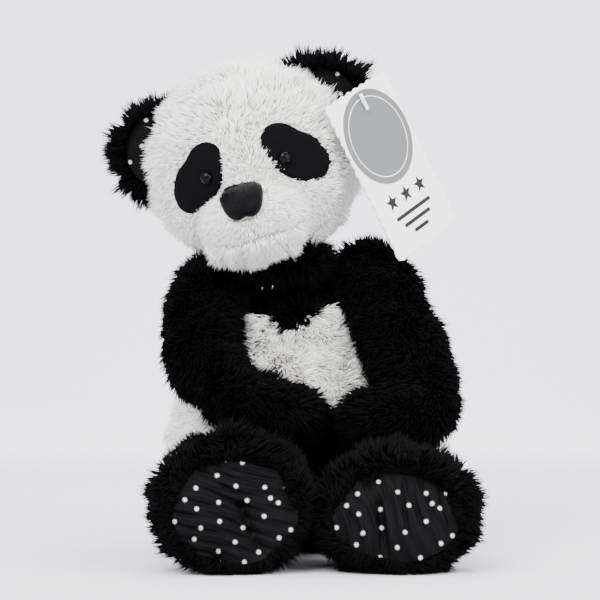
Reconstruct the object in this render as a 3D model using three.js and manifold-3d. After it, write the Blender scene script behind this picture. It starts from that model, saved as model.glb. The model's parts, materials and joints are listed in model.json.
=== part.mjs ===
// Seated plush panda with a sewn head, ears, arms and legs, and a card tag on a plastic fastener.
// Millimetres, +Z up, the panda looks along -Y. The origin is on the flat seat, under the body.
import * as THREE from 'three';
import { mergeVertices } from 'three/addons/utils/BufferGeometryUtils.js';
import Module from 'manifold-3d';

const wasm = await Module();
wasm.setup();

// ---------- driving dimensions ----------
const GAP = 0.5; // clearance between neighbouring pieces
const PLUSH = 5; // plush cloth with its pile pressed flat
const LIMB_PLUSH = 4; // the same cloth, stretched round a limb

const HEAD = { centre: [-37, 0, 223], radii: [58, 55, 57], rollDeg: -15.5, yawDeg: -4 };
const GUSSET_HALF = 20; // half width of the strip that runs from the brow over the crown to the nape
const GUSSET_FRONT_Z = -9;
const GUSSET_BACK_Z = -30;
const MUZZLE = { centre: [-5, -40, -31], radii: [31, 26, 24], chinZ: -42 };
const NOSE = { centre: [-5.5, -22], halfWidth: 12.6, halfHeight: 10.2, proud: 5.5 };
const EYES = [
  { side: 'left', x: -22.7, z: -3 },
  { side: 'right', x: 21.7, z: -4.5 },
];
const EYE = { radius: 3.7, dome: 3.2, shankRadius: 1.5, shankLength: 13, washerRadius: 6, washer: 1.2 };
const PATCH = {
  halfLength: 22,
  halfWidth: 13.5,
  thickness: 1.6,
  centreZ: -1.6,
  droopDeg: 54,
  fanDeg: 24, // turned outwards from straight ahead
  cutterX: 7.5,
  cutterDepth: 80,
};
const EAR = { polarDeg: 23, reach: 52, radius: 25, thickness: 8, dishRadius: 80, dishDepth: 2.5, gap: 2.6 };
const LINING = { radius: 19.2, thickness: 1.6 };

const NECK = { below: 3.2, space: 29, collarRadius: 20, collarThickness: 5, fillingRadius: 14 };

const TORSO = { centreX: -5, centreY: 18, depthRatio: 0.77, topY: 3, topX: -19, leanFromZ: 40, topZ: 162 };
const TORSO_PROFILE = [
  [56, 0], [65, 2.5], [73.5, 12], [79, 28], [81.5, 46], [81.5, 60], [78, 75], [67, 91],
  [54, 107], [44, 121], [37, 134], [30, 146], [20, 156], [9, 161],
];
const YOKE_Z = 124; // lower edge of the black shoulder yoke
const SEAT_THICKNESS = 5;
const PELLETS = { centre: [-5, 33, 17.5], radii: [38, 24, 11] };

const SHOULDER_BALL = 20;
const SHOULDER_CLEAR = 1.6;
const LIMB_FILL_CLEAR = 1.5 * GAP; // between a limb's cloth and its filling
const ARMS = {
  left: [[-58, 0, 146], [-63, -16, 133], [-63.5, -37, 110], [-46, -62, 90], [1, -73, 80]],
  right: [[32, 2, 148], [41, -16, 132], [49.5, -35, 109], [55, -58, 86], [14.5, -74, 78]],
};
const ARM_PROFILE = [[0, -20], [11, -16.8], [18, -8.6], [20, 2], [20.5, 28], [19.5, 60]];
const ARM_TIP = 17.5; // radius of the rounded paw

const HIP_BALL = 26;
const HIP_CLEAR = 1.4;
const LEGS = {
  left: { x: -44.5, footZ: 39, soleY: -124, tiltDeg: 8, flatness: 0.93, padHalfHeight: 28 },
  right: { x: 41.2, footZ: 35.6, soleY: -120, tiltDeg: 14, flatness: 0.79, padHalfHeight: 24 },
};
const HIP = { y: -34, z: 32.5 };
const LEG_PROFILE = [[0, -26], [14.5, -21.5], [23.5, -11], [26, 0], [24.6, 11], [25, 28], [28, 46]];
const FOOT_HALF_WIDTH = 40;
const ANKLE_BEFORE_SOLE = 26;
const SOLE = { halfWidth: 34, halfThickness: 6, drop: 4.5 };

const TAG = {
  width: 58,
  length: 96,
  thickness: 1.2,
  hole: 2,
  holeDown: 8,
  scallop: 1.2,
  scallopsAcross: 9,
  scallopsDown: 15,
};
const TAG_CORNER = [4.5, -45, 251];
const TAG_ACROSS = new THREE.Vector3(0.58, 0.7, 0.415).normalize();
const TAG_DOWN_HINT = new THREE.Vector3(0.429, 0.146, -0.891);
const FASTENER = { radius: 0.7, barRadius: 1.1, barLength: 10, earHole: 1.3, fromEarCentre: 21.9 };

// ---------- finishes ----------
const finish = (color, roughness) => () => new THREE.MeshStandardMaterial({ color, roughness, metalness: 0 });
const whitePlush = finish(0xf4f2ee, 0.95);
const blackPlush = finish(0x121214, 0.95);
const patchPlush = finish(0x17171a, 0.9);
const dottedCotton = finish(0x26262b, 0.9);
const noseSatin = finish(0x1b1b1f, 0.55);
const eyePlastic = finish(0x060607, 0.15);
const washerPlastic = finish(0xe9e9e6, 0.5);
const fibreFill = finish(0xfbfbf8, 1);
const pelletCloth = finish(0xe4e0d6, 0.9);
const tagCard = finish(0xf3f2ef, 0.7);
const clearPlastic = finish(0xe6e8ea, 0.3);

// ---------- solids ----------
// Triangles that kept three different corners once the shared vertices were merged.
const wholeTriangles = (index) => {
  const kept = [];
  for (let i = 0; i < index.length; i += 3) {
    const [a, b, c] = index.slice(i, i + 3);
    if (a !== b && b !== c && c !== a) kept.push(a, b, c);
  }
  return kept;
};

const turnedRound = (index) => index.map((_, i) => index[i - (i % 3) + ((3 - (i % 3)) % 3)]);

const toSolid = (geometry) => {
  const bare = geometry.clone();
  bare.deleteAttribute('normal');
  bare.deleteAttribute('uv');
  const merged = mergeVertices(bare, 1e-3);
  const triangles = wholeTriangles(Array.from(merged.index.array));
  const build = (index) => new wasm.Manifold(new wasm.Mesh({
    numProp: 3,
    vertProperties: new Float32Array(merged.attributes.position.array),
    triVerts: new Uint32Array(index),
  }));
  const solid = build(triangles);
  return solid.volume() < 0 ? build(turnedRound(triangles)) : solid;
};

const toGeometry = (solid) => {
  const mesh = solid.getMesh();
  const geometry = new THREE.BufferGeometry();
  geometry.setAttribute('position', new THREE.BufferAttribute(mesh.vertProperties, 3));
  geometry.setIndex(new THREE.BufferAttribute(mesh.triVerts, 1));
  geometry.computeVertexNormals();
  return geometry;
};

const vector = (values) => new THREE.Vector3(...values);
const radians = THREE.MathUtils.degToRad;

const ellipsoid = (centre, radii, around = 18, along = 10) => toSolid(
  new THREE.SphereGeometry(1, around, along).rotateX(Math.PI / 2).scale(...radii).translate(...centre),
);

const ball = (centre, radius, around = 18, along = 10) => (
  ellipsoid(centre, [radius, radius, radius], around, along)
);

const box = (low, high) => toSolid(
  new THREE.BoxGeometry(high[0] - low[0], high[1] - low[1], high[2] - low[2])
    .translate((low[0] + high[0]) / 2, (low[1] + high[1]) / 2, (low[2] + high[2]) / 2),
);

const grown = (radii, by) => radii.map((r) => r + by);

const FAR = 400;

// A mesh in its own finish, named as a person would name the piece.
const piece = (name, solid, material) => {
  const mesh = new THREE.Mesh(solid.isBufferGeometry ? solid : toGeometry(solid), material());
  mesh.name = name;
  return mesh;
};

// ---------- head frame ----------
const headGroup = new THREE.Group();
headGroup.position.set(...HEAD.centre);
headGroup.quaternion
  .setFromAxisAngle(new THREE.Vector3(0, 1, 0), radians(HEAD.rollDeg))
  .multiply(new THREE.Quaternion().setFromAxisAngle(new THREE.Vector3(0, 0, 1), radians(HEAD.yawDeg)));
headGroup.updateMatrixWorld();
const neckLocal = [0, 0, -(HEAD.radii[2] + NECK.below)];
const neckPoint = vector(neckLocal).applyMatrix4(headGroup.matrixWorld);

const onHead = (x, z, lift = 0) => {
  const [rx, ry, rz] = grown(HEAD.radii, lift);
  return new THREE.Vector3(x, -ry * Math.sqrt(1 - (x / rx) ** 2 - (z / rz) ** 2), z);
};

const headNormal = (point) => new THREE.Vector3(
  point.x / HEAD.radii[0] ** 2,
  point.y / HEAD.radii[1] ** 2,
  point.z / HEAD.radii[2] ** 2,
).normalize();

// ---------- eyes with shanks and lock washers ----------
const lathed = (profile, segments) => new THREE.LatheGeometry(
  profile.map(([r, h]) => new THREE.Vector2(r, h)),
  segments,
).rotateX(Math.PI / 2);

const eyeGeometry = () => lathed([
  [0, -EYE.shankLength],
  [EYE.shankRadius, -EYE.shankLength],
  [EYE.shankRadius, 0],
  [EYE.radius, 0],
  [EYE.radius * 0.95, EYE.dome * 0.4],
  [EYE.radius * 0.7, EYE.dome * 0.8],
  [EYE.radius * 0.36, EYE.dome * 0.96],
  [0, EYE.dome],
], 14);

const washerGeometry = () => {
  const inner = EYE.shankRadius + GAP / 2;
  const half = EYE.washer / 2;
  const outer = EYE.washerRadius;
  return lathed([[inner, -half], [outer, -half], [outer, half], [inner, half], [inner, -half]], 14);
};

const tube = (radius, from, to) => toSolid(
  new THREE.CylinderGeometry(radius, radius, to - from, 16)
    .rotateX(Math.PI / 2)
    .translate(0, 0, (from + to) / 2),
);

const eyeSeat = ({ x, z }) => {
  const point = onHead(x, z, PATCH.thickness + 2 * GAP);
  const turn = new THREE.Quaternion().setFromUnitVectors(new THREE.Vector3(0, 0, 1), headNormal(point));
  return new THREE.Matrix4().compose(point, turn, new THREE.Vector3(1, 1, 1));
};

const moved = (solid, matrix) => toSolid(toGeometry(solid).applyMatrix4(matrix));
const washerDepth = -(PATCH.thickness + PLUSH + 3 * GAP + EYE.washer);

const eyePieces = EYES.map(({ side, x, z }) => {
  const seat = eyeSeat({ x, z });
  const eye = piece(`eye_${side}`, eyeGeometry(), eyePlastic);
  eye.applyMatrix4(seat);
  const washer = piece(`eye_washer_${side}`, washerGeometry().translate(0, 0, washerDepth), washerPlastic);
  washer.applyMatrix4(seat);
  const hole = moved(tube(EYE.shankRadius + GAP, -EYE.shankLength - GAP, GAP), seat);
  const pocket = moved(tube(EYE.washerRadius + GAP, -EYE.shankLength - 2 * GAP, washerDepth + 2), seat);
  return { eye, washer, hole, pocket };
});
const eyeHoles = eyePieces.map(({ hole }) => hole);
const eyePockets = eyePieces.map(({ pocket }) => pocket);
const minus = (solid, cutters) => cutters.reduce((left, cutter) => left.subtract(cutter), solid);

// ---------- head panels and filling ----------
const headAround = 24;
const headAlong = 14;
const headOuter = ellipsoid([0, 0, 0], HEAD.radii, headAround, headAlong);
const headInner = ellipsoid([0, 0, 0], grown(HEAD.radii, -PLUSH), headAround, headAlong);
const neckSpaceInHead = ball(neckLocal, NECK.space);
const headShell = minus(headOuter.subtract(headInner), [neckSpaceInHead, ...eyeHoles]);

const gussetRegion = (grow) => {
  const half = GUSSET_HALF + grow;
  const front = box([-half, -FAR, GUSSET_FRONT_Z - grow], [half, 0, FAR]);
  const back = box([-half, -grow, GUSSET_BACK_Z - grow], [half, FAR, FAR]);
  return front.add(back);
};
const headGusset = headShell.intersect(gussetRegion(0));
const cheekShell = headShell.subtract(gussetRegion(GAP));
const leftHalf = box([-FAR, -FAR, -FAR], [-GAP / 2, FAR, FAR]);
const rightHalf = box([GAP / 2, -FAR, -FAR], [FAR, FAR, FAR]);
const headFilling = minus(
  ellipsoid([0, 0, 0], grown(HEAD.radii, -PLUSH - GAP), headAround, headAlong),
  [neckSpaceInHead, ...eyeHoles, ...eyePockets],
);

// ---------- muzzle, chin and nose ----------
const muzzleBody = (grow) => ellipsoid(MUZZLE.centre, grown(MUZZLE.radii, grow), 18, 10);
const headClear = ellipsoid([0, 0, 0], grown(HEAD.radii, GAP), headAround, headAlong);
const muzzle = muzzleBody(0).subtract(headClear);
const aboveChin = box([-FAR, -FAR, MUZZLE.chinZ + GAP / 2], [FAR, FAR, FAR]);
const belowChin = box([-FAR, -FAR, -FAR], [FAR, FAR, MUZZLE.chinZ - GAP / 2]);
const muzzleSeam = MUZZLE.centre[0];
const seamCut = box([muzzleSeam - GAP / 2, -FAR, -FAR], [muzzleSeam + GAP / 2, FAR, FAR]);
const muzzleHalves = muzzle.intersect(aboveChin).subtract(seamCut);
const muzzleLeft = muzzleHalves.intersect(box([-FAR, -FAR, -FAR], [muzzleSeam, FAR, FAR]));
const muzzleRight = muzzleHalves.intersect(box([muzzleSeam, -FAR, -FAR], [FAR, FAR, FAR]));

const noseShape = () => {
  const { halfWidth: w, halfHeight: h } = NOSE;
  const shape = new THREE.Shape();
  shape.moveTo(0, -h);
  shape.bezierCurveTo(w * 0.35, -h, w * 0.6, -h * 0.6, w * 0.9, -h * 0.05);
  shape.bezierCurveTo(w * 1.2, h * 0.5, w * 0.95, h * 0.85, w * 0.5, h * 0.95);
  shape.bezierCurveTo(w * 0.25, h, -w * 0.25, h, -w * 0.5, h * 0.95);
  shape.bezierCurveTo(-w * 0.95, h * 0.85, -w * 1.2, h * 0.5, -w * 0.9, -h * 0.05);
  shape.bezierCurveTo(-w * 0.6, -h * 0.6, -w * 0.35, -h, 0, -h);
  return shape;
};

const noseFrontY = MUZZLE.centre[1] - MUZZLE.radii[1] - NOSE.proud;
const noseDepth = 16;
const noseBevel = 3;
const noseBlock = toSolid(
  new THREE.ExtrudeGeometry(noseShape(), {
    depth: noseDepth,
    bevelThickness: noseBevel,
    bevelSize: noseBevel / 2,
    bevelOffset: -noseBevel / 2,
    bevelSegments: 3,
    curveSegments: 5,
  }).rotateX(Math.PI / 2).translate(NOSE.centre[0], noseFrontY + noseDepth + noseBevel, NOSE.centre[1]),
);
const nose = noseBlock.subtract(muzzleBody(GAP)).subtract(headClear);

// ---------- eye patches ----------
const patchShape = () => {
  const { halfLength: a, halfWidth: b } = PATCH;
  const shape = new THREE.Shape();
  shape.moveTo(0, b * 0.92);
  shape.bezierCurveTo(a * 0.5, b * 0.98, a, b * 0.8, a, b * 0.05);
  shape.bezierCurveTo(a, -b * 0.75, a * 0.5, -b, 0, -b * 0.96);
  shape.bezierCurveTo(-a * 0.6, -b * 0.9, -a, -b * 0.6, -a, 0);
  shape.bezierCurveTo(-a, b * 0.75, -a * 0.5, b * 0.9, 0, b * 0.92);
  return shape;
};

const patchShell = ellipsoid([0, 0, 0], grown(HEAD.radii, GAP + PATCH.thickness), headAround, headAlong)
  .subtract(headClear);
const eyePatch = (sign) => {
  const options = { depth: PATCH.cutterDepth, bevelEnabled: false, curveSegments: 5 };
  const column = new THREE.ExtrudeGeometry(patchShape(), options)
    .rotateZ(radians(-sign * PATCH.droopDeg))
    .rotateX(Math.PI / 2)
    .rotateZ(radians(sign * PATCH.fanDeg))
    .translate(sign * PATCH.cutterX, -2, PATCH.centreZ);
  return minus(patchShell.intersect(toSolid(column)), eyeHoles).subtract(muzzleBody(GAP));
};

// ---------- ears ----------
const earAxis = (sign) => new THREE.Vector3(
  sign * Math.cos(radians(EAR.polarDeg)), 0, Math.sin(radians(EAR.polarDeg)),
);
const headForEars = ellipsoid([0, 0, 0], grown(HEAD.radii, EAR.gap), headAround, headAlong);

const ear = (side, sign) => {
  const centre = earAxis(sign).multiplyScalar(EAR.reach);
  const bevel = 2;
  const disc = new THREE.ExtrudeGeometry(new THREE.Shape().absarc(0, 0, EAR.radius - bevel, 0, 2 * Math.PI), {
    depth: EAR.thickness - 2 * bevel,
    bevelThickness: bevel,
    bevelSize: bevel,
    bevelSegments: 2,
    curveSegments: 18,
  }).rotateX(Math.PI / 2).translate(centre.x, EAR.thickness / 2 - bevel, centre.z);
  const dishCentre = [centre.x, -EAR.thickness / 2 + EAR.dishDepth - EAR.dishRadius, centre.z];
  const dish = (shrink) => ball(dishCentre, EAR.dishRadius - shrink, 60, 40);
  const rim = toSolid(
    new THREE.CylinderGeometry(LINING.radius, LINING.radius, 40, 28).translate(centre.x, 0, centre.z),
  );
  const lining = dish(GAP).subtract(dish(GAP + LINING.thickness)).intersect(rim)
    .intersect(box([-FAR, -EAR.thickness, -FAR], [FAR, 0, FAR]));
  const plush = toSolid(disc).subtract(dish(0));
  return {
    plush: plush.subtract(headForEars),
    lining: lining.subtract(headForEars),
    centre,
    side,
  };
};
const ears = [ear('left', -1), ear('right', 1)];

// ---------- tag and its fastener ----------
const tagDown = TAG_DOWN_HINT.clone()
  .addScaledVector(TAG_ACROSS, -TAG_DOWN_HINT.dot(TAG_ACROSS))
  .normalize();
const tagFacing = new THREE.Vector3().crossVectors(tagDown, TAG_ACROSS).normalize();
const tagMatrix = new THREE.Matrix4()
  .makeBasis(TAG_ACROSS, tagDown.clone().negate(), tagFacing.clone())
  .setPosition(vector(TAG_CORNER));

// Scalloped edge: a row of shallow arcs along each side of the card, from corner to corner.
const tagShape = () => {
  const corners = [[0, 0], [TAG.width, 0], [TAG.width, -TAG.length], [0, -TAG.length], [0, 0]]
    .map(([x, y]) => new THREE.Vector2(x, y));
  const shape = new THREE.Shape();
  shape.moveTo(0, 0);
  for (let side = 0; side < 4; side += 1) {
    const [from, to] = [corners[side], corners[side + 1]];
    const count = side % 2 ? TAG.scallopsDown : TAG.scallopsAcross;
    const along = to.clone().sub(from).normalize();
    const outward = new THREE.Vector2(-along.y, along.x).multiplyScalar(2 * TAG.scallop);
    for (let i = 0; i < count; i += 1) {
      const middle = from.clone().lerp(to, (i + 0.5) / count).add(outward);
      const end = from.clone().lerp(to, (i + 1) / count);
      shape.quadraticCurveTo(middle.x, middle.y, end.x, end.y);
    }
  }
  const hole = new THREE.Path().absarc(TAG.width / 2, -TAG.holeDown, TAG.hole, 0, 2 * Math.PI, false);
  shape.holes.push(hole);
  return shape;
};

const tagGeometry = new THREE.ExtrudeGeometry(tagShape(), {
  depth: TAG.thickness, bevelEnabled: false, curveSegments: 2,
});
const hangTag = piece('hang_tag', toSolid(tagGeometry), tagCard);
hangTag.applyMatrix4(tagMatrix);

const rightEar = ears[1];
const earHoleLocal = rightEar.centre.clone().add(new THREE.Vector3(FASTENER.fromEarCentre, 0, 0));
const inHead = (point) => point.clone().applyMatrix4(headGroup.matrixWorld);
const earBack = new THREE.Vector3(0, 1, 0).applyQuaternion(headGroup.quaternion);
const earHolePoint = inHead(earHoleLocal);
const tagHolePoint = new THREE.Vector3(TAG.width / 2, -TAG.holeDown, TAG.thickness / 2)
  .applyMatrix4(tagMatrix);

const barSolid = (centre, direction) => {
  const turn = new THREE.Quaternion().setFromUnitVectors(new THREE.Vector3(0, 1, 0), direction);
  const bar = new THREE.CylinderGeometry(FASTENER.barRadius, FASTENER.barRadius, FASTENER.barLength, 10)
    .applyQuaternion(turn)
    .translate(centre.x, centre.y, centre.z);
  return toSolid(bar);
};
const behindEar = earHolePoint.clone()
  .addScaledVector(earBack, EAR.thickness / 2 + FASTENER.barRadius + GAP);
const beforeTag = tagHolePoint.clone().addScaledVector(tagFacing, TAG.thickness + FASTENER.barRadius);
const strandPath = new THREE.CatmullRomCurve3([
  behindEar,
  earHolePoint.clone(),
  earHolePoint.clone().addScaledVector(earBack, -EAR.thickness / 2 - 2),
  tagHolePoint.clone().addScaledVector(tagFacing, -5),
  tagHolePoint.clone(),
  beforeTag,
]);
const strand = new THREE.ExtrudeGeometry(
  new THREE.Shape().absarc(0, 0, FASTENER.radius, 0, 2 * Math.PI),
  { extrudePath: strandPath, steps: 14, curveSegments: 3, bevelEnabled: false },
);
const earUp = new THREE.Vector3(0, 0, 1).applyQuaternion(headGroup.quaternion);
const tagFastener = toSolid(strand).add(barSolid(behindEar, earUp)).add(barSolid(beforeTag, tagDown));
const earHole = toSolid(new THREE.CylinderGeometry(FASTENER.earHole, FASTENER.earHole, 30, 12)
  .translate(earHoleLocal.x, earHoleLocal.y, earHoleLocal.z));
rightEar.plush = rightEar.plush.subtract(earHole);

// ---------- neck ----------
const collarCircle = [];
const collarSides = 8;
for (let i = 0; i <= collarSides; i += 1) {
  const angle = (2 * Math.PI * i) / collarSides;
  collarCircle.push([
    NECK.collarRadius + NECK.collarThickness * Math.cos(angle),
    NECK.collarThickness * Math.sin(angle),
  ]);
}
const neckCollar = piece('neck_collar', lathed(collarCircle, 18), blackPlush);
neckCollar.position.copy(neckPoint);
const neckFilling = piece('neck_filling', ball([0, 0, 0], NECK.fillingRadius, 12, 8), fibreFill);
neckFilling.position.copy(neckPoint);
const neckSpace = ball(neckPoint.toArray(), NECK.space);

// ---------- limbs ----------
// A lathe profile laid along a curve.
// Height on the profile is the distance along the curve from the joint's centre.
const bent = (profile, curve, rootLength, flatness = () => 1) => {
  const smooth = new THREE.SplineCurve(profile.map(([r, s]) => new THREE.Vector2(r, s))).getPoints(13);
  const points = smooth.map(({ x, y }, i) => (
    new THREE.Vector2(i === 0 || i === smooth.length - 1 ? 0 : Math.max(x, 0.5), y)
  ));
  const geometry = new THREE.LatheGeometry(points, 14);
  const position = geometry.attributes.position;
  const length = curve.getLength();
  const side = new THREE.Vector3();
  const rise = new THREE.Vector3();
  for (let i = 0; i < position.count; i += 1) {
    const [x, s, z] = [position.getX(i), position.getY(i), position.getZ(i)];
    const u = THREE.MathUtils.clamp((s + rootLength) / length, 0, 1);
    const tangent = curve.getTangentAt(u);
    rise.set(0, 0, 1).addScaledVector(tangent, -tangent.z).normalize();
    side.crossVectors(tangent, rise);
    const point = curve.getPointAt(u)
      .addScaledVector(side, x)
      .addScaledVector(rise, z * flatness(s));
    position.setXYZ(i, point.x, point.y, point.z);
  }
  return toSolid(geometry);
};

const limbCurve = (points, rootLength) => {
  const [first, second] = points.map(vector);
  const back = first.clone().sub(second).setLength(rootLength).add(first);
  return new THREE.CatmullRomCurve3([back, ...points.map(vector)]);
};

// The same profile with its wall moved in by a distance, or out where it is negative.
const shrunk = (profile, by) => profile.map(([r, s], i) => {
  if (i === 0) return [0, s + by];
  if (i === profile.length - 1) return [0, s - by];
  return [Math.max(r - by, 1), s];
});

const arm = (side) => {
  const points = ARMS[side];
  const curve = limbCurve(points, SHOULDER_BALL);
  const end = curve.getLength() - SHOULDER_BALL;
  const profile = [...ARM_PROFILE, [ARM_TIP, end - 12], [ARM_TIP * 0.62, end - 3], [0, end]];
  const outer = bent(profile, curve, SHOULDER_BALL);
  const hollow = bent(shrunk(profile, LIMB_PLUSH), curve, SHOULDER_BALL);
  const mouth = ball(curve.getPointAt(0).toArray(), 9, 10, 6);
  return {
    plush: outer.subtract(hollow).subtract(mouth),
    filling: bent(shrunk(profile, LIMB_PLUSH + LIMB_FILL_CLEAR), curve, SHOULDER_BALL).subtract(mouth),
    clearance: bent(shrunk(profile, -SHOULDER_CLEAR), curve, SHOULDER_BALL),
  };
};

const leg = (side) => {
  const { x, footZ, soleY, tiltDeg, flatness: footFlatness, padHalfHeight } = LEGS[side];
  const facing = new THREE.Vector3(0, -Math.cos(radians(tiltDeg)), Math.sin(radians(tiltDeg)));
  const sole = new THREE.Vector3(x, soleY, footZ);
  const ankle = sole.clone().addScaledVector(facing, -ANKLE_BEFORE_SOLE);
  const points = [[x, HIP.y, HIP.z], [x, HIP.y - 30, HIP.z - 2.5], ankle.toArray(), sole.toArray()];
  const curve = limbCurve(points, HIP_BALL);
  const end = curve.getLength() - HIP_BALL;
  const profile = [
    ...LEG_PROFILE,
    [FOOT_HALF_WIDTH * 0.9, end - 26],
    [FOOT_HALF_WIDTH, end - 13],
    [FOOT_HALF_WIDTH * 0.88, end - 3],
    [0, end],
  ];
  const flatness = (s) => (
    THREE.MathUtils.lerp(1, footFlatness, THREE.MathUtils.smoothstep(s, 10, end - 20))
  );
  const outer = bent(profile, curve, HIP_BALL, flatness);
  const hollow = bent(shrunk(profile, LIMB_PLUSH), curve, HIP_BALL, flatness);
  const mouth = ball(curve.getPointAt(0).toArray(), 12, 10, 6);
  const padCentre = sole.clone().addScaledVector(facing, -SOLE.halfThickness / 2 - 0.5);
  padCentre.z -= SOLE.drop;
  const pad = (grow) => toSolid(
    new THREE.SphereGeometry(1, 20, 10).rotateX(Math.PI / 2)
      .scale(SOLE.halfWidth + grow, padHalfHeight + grow, SOLE.halfThickness + grow)
      .rotateX(Math.PI / 2 - radians(tiltDeg))
      .translate(padCentre.x, padCentre.y, padCentre.z),
  );
  const filling = bent(shrunk(profile, LIMB_PLUSH + LIMB_FILL_CLEAR), curve, HIP_BALL, flatness);
  return {
    plush: minus(outer.subtract(hollow), [mouth, pad(GAP)]),
    filling: minus(filling, [mouth, pad(GAP)]),
    pad: pad(0),
  };
};

// ---------- torso ----------
// A pear turned on a lathe, made oval, then leant towards the neck.
const torsoSolid = (shrink) => {
  const outline = TORSO_PROFILE.map(([r, z]) => new THREE.Vector2(r - shrink, z));
  const profile = new THREE.SplineCurve(outline)
    .getPoints(12)
    .map(({ x, y }) => new THREE.Vector2(x, THREE.MathUtils.clamp(y, shrink, TORSO.topZ - shrink)));
  const flatTop = TORSO.topZ - shrink;
  const closed = [new THREE.Vector2(0, shrink), ...profile, new THREE.Vector2(0, flatTop)];
  const geometry = new THREE.LatheGeometry(closed, 24).rotateX(Math.PI / 2).scale(1, TORSO.depthRatio, 1);
  const position = geometry.attributes.position;
  for (let i = 0; i < position.count; i += 1) {
    const share = Math.max(0, (position.getZ(i) - TORSO.leanFromZ) / (TORSO.topZ - TORSO.leanFromZ));
    const lean = share ** 1.7;
    position.setX(i, position.getX(i) + TORSO.centreX + (TORSO.topX - TORSO.centreX) * lean);
    position.setY(i, position.getY(i) + TORSO.centreY + (TORSO.topY - TORSO.centreY) * lean);
  }
  return toSolid(geometry);
};

const shoulderSocket = ([centre]) => ball(centre, SHOULDER_BALL + SHOULDER_CLEAR);
const hipSocket = ({ x }) => ball([x, HIP.y, HIP.z], HIP_BALL + HIP_CLEAR);
const shoulderSockets = Object.values(ARMS).map(shoulderSocket);
const hipSockets = Object.values(LEGS).map(hipSocket);
const sockets = [...shoulderSockets, ...hipSockets];
const armPieces = { left: arm('left'), right: arm('right') };
const pressedIn = [...sockets, armPieces.left.clearance, armPieces.right.clearance];
const torsoShell = minus(torsoSolid(0).subtract(torsoSolid(PLUSH)), [neckSpace, ...pressedIn]);
const slab = (low, high) => box([-FAR, -FAR, low], [FAR, FAR, high]);
const yoke = torsoShell.intersect(slab(YOKE_Z + GAP / 2, FAR));
const seatPanel = torsoShell.intersect(slab(-1, SEAT_THICKNESS));
const wall = torsoShell.intersect(slab(SEAT_THICKNESS + GAP, YOKE_Z - GAP / 2));
const frontHalf = box([-FAR, -FAR, -FAR], [FAR, TORSO.centreY - GAP / 2, FAR]);
const backHalf = box([-FAR, TORSO.centreY + GAP / 2, -FAR], [FAR, FAR, FAR]);
const bellyPanel = wall.intersect(frontHalf);
const backLeft = wall.intersect(backHalf).intersect(leftHalf);
const backRight = wall.intersect(backHalf).intersect(rightHalf);

const pelletPocket = ellipsoid(PELLETS.centre, grown(PELLETS.radii, GAP)).add(toSolid(
  new THREE.CylinderGeometry(1, 1, PELLETS.centre[2], 24).rotateX(Math.PI / 2)
    .scale(PELLETS.radii[0] + GAP, PELLETS.radii[1] + GAP, 1)
    .translate(PELLETS.centre[0], PELLETS.centre[1], PELLETS.centre[2] / 2),
));
const torsoFilling = minus(torsoSolid(PLUSH + GAP), [neckSpace, ...pressedIn, pelletPocket]);

// ---------- assembly ----------
headGroup.add(
  piece('head_gusset', headGusset, whitePlush),
  piece('head_side_left', cheekShell.intersect(leftHalf), whitePlush),
  piece('head_side_right', cheekShell.intersect(rightHalf), whitePlush),
  piece('head_filling', headFilling, fibreFill),
  piece('muzzle_left', muzzleLeft, whitePlush),
  piece('muzzle_right', muzzleRight, whitePlush),
  piece('chin', muzzle.intersect(belowChin), whitePlush),
  piece('nose', nose, noseSatin),
  piece('eye_patch_left', eyePatch(-1), patchPlush),
  piece('eye_patch_right', eyePatch(1), patchPlush),
  ...eyePieces.flatMap(({ eye, washer }) => [eye, washer]),
  ...ears.flatMap(({ side, plush, lining }) => [
    piece(`ear_plush_${side}`, plush, blackPlush),
    piece(`ear_lining_${side}`, lining, dottedCotton),
  ]),
);

const panda = new THREE.Group();
panda.add(
  headGroup,
  neckCollar,
  neckFilling,
  piece('chest_yoke', yoke, blackPlush),
  piece('belly_panel', bellyPanel, whitePlush),
  piece('back_panel_left', backLeft, whitePlush),
  piece('back_panel_right', backRight, whitePlush),
  piece('seat_panel', seatPanel, whitePlush),
  piece('torso_filling', torsoFilling, fibreFill),
  piece('pellet_bag', ellipsoid(PELLETS.centre, PELLETS.radii, 16, 8), pelletCloth),
  hangTag,
  piece('tag_fastener', tagFastener, clearPlastic),
);
for (const side of ['left', 'right']) {
  const { plush, filling } = armPieces[side];
  panda.add(piece(`arm_${side}`, plush, blackPlush), piece(`arm_filling_${side}`, filling, fibreFill));
  const { plush: legPlush, filling: legFilling, pad } = leg(side);
  panda.add(
    piece(`leg_${side}`, legPlush, blackPlush),
    piece(`leg_filling_${side}`, legFilling, fibreFill),
    piece(`sole_${side}`, pad, dottedCotton),
  );
}

export default panda;
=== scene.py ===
"""Plush panda with real pile, gathered cotton soles, a satin nose and a card tag.

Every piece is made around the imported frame: bodies, joints and node boxes give the places.
"""
import functools
import json
import math

import bmesh
import bpy
import numpy as np
from bpy.props import FloatProperty, FloatVectorProperty, IntProperty, PointerProperty
from mathutils import Matrix, Vector
from mathutils.bvhtree import BVHTree
from mathutils.kdtree import KDTree


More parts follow.
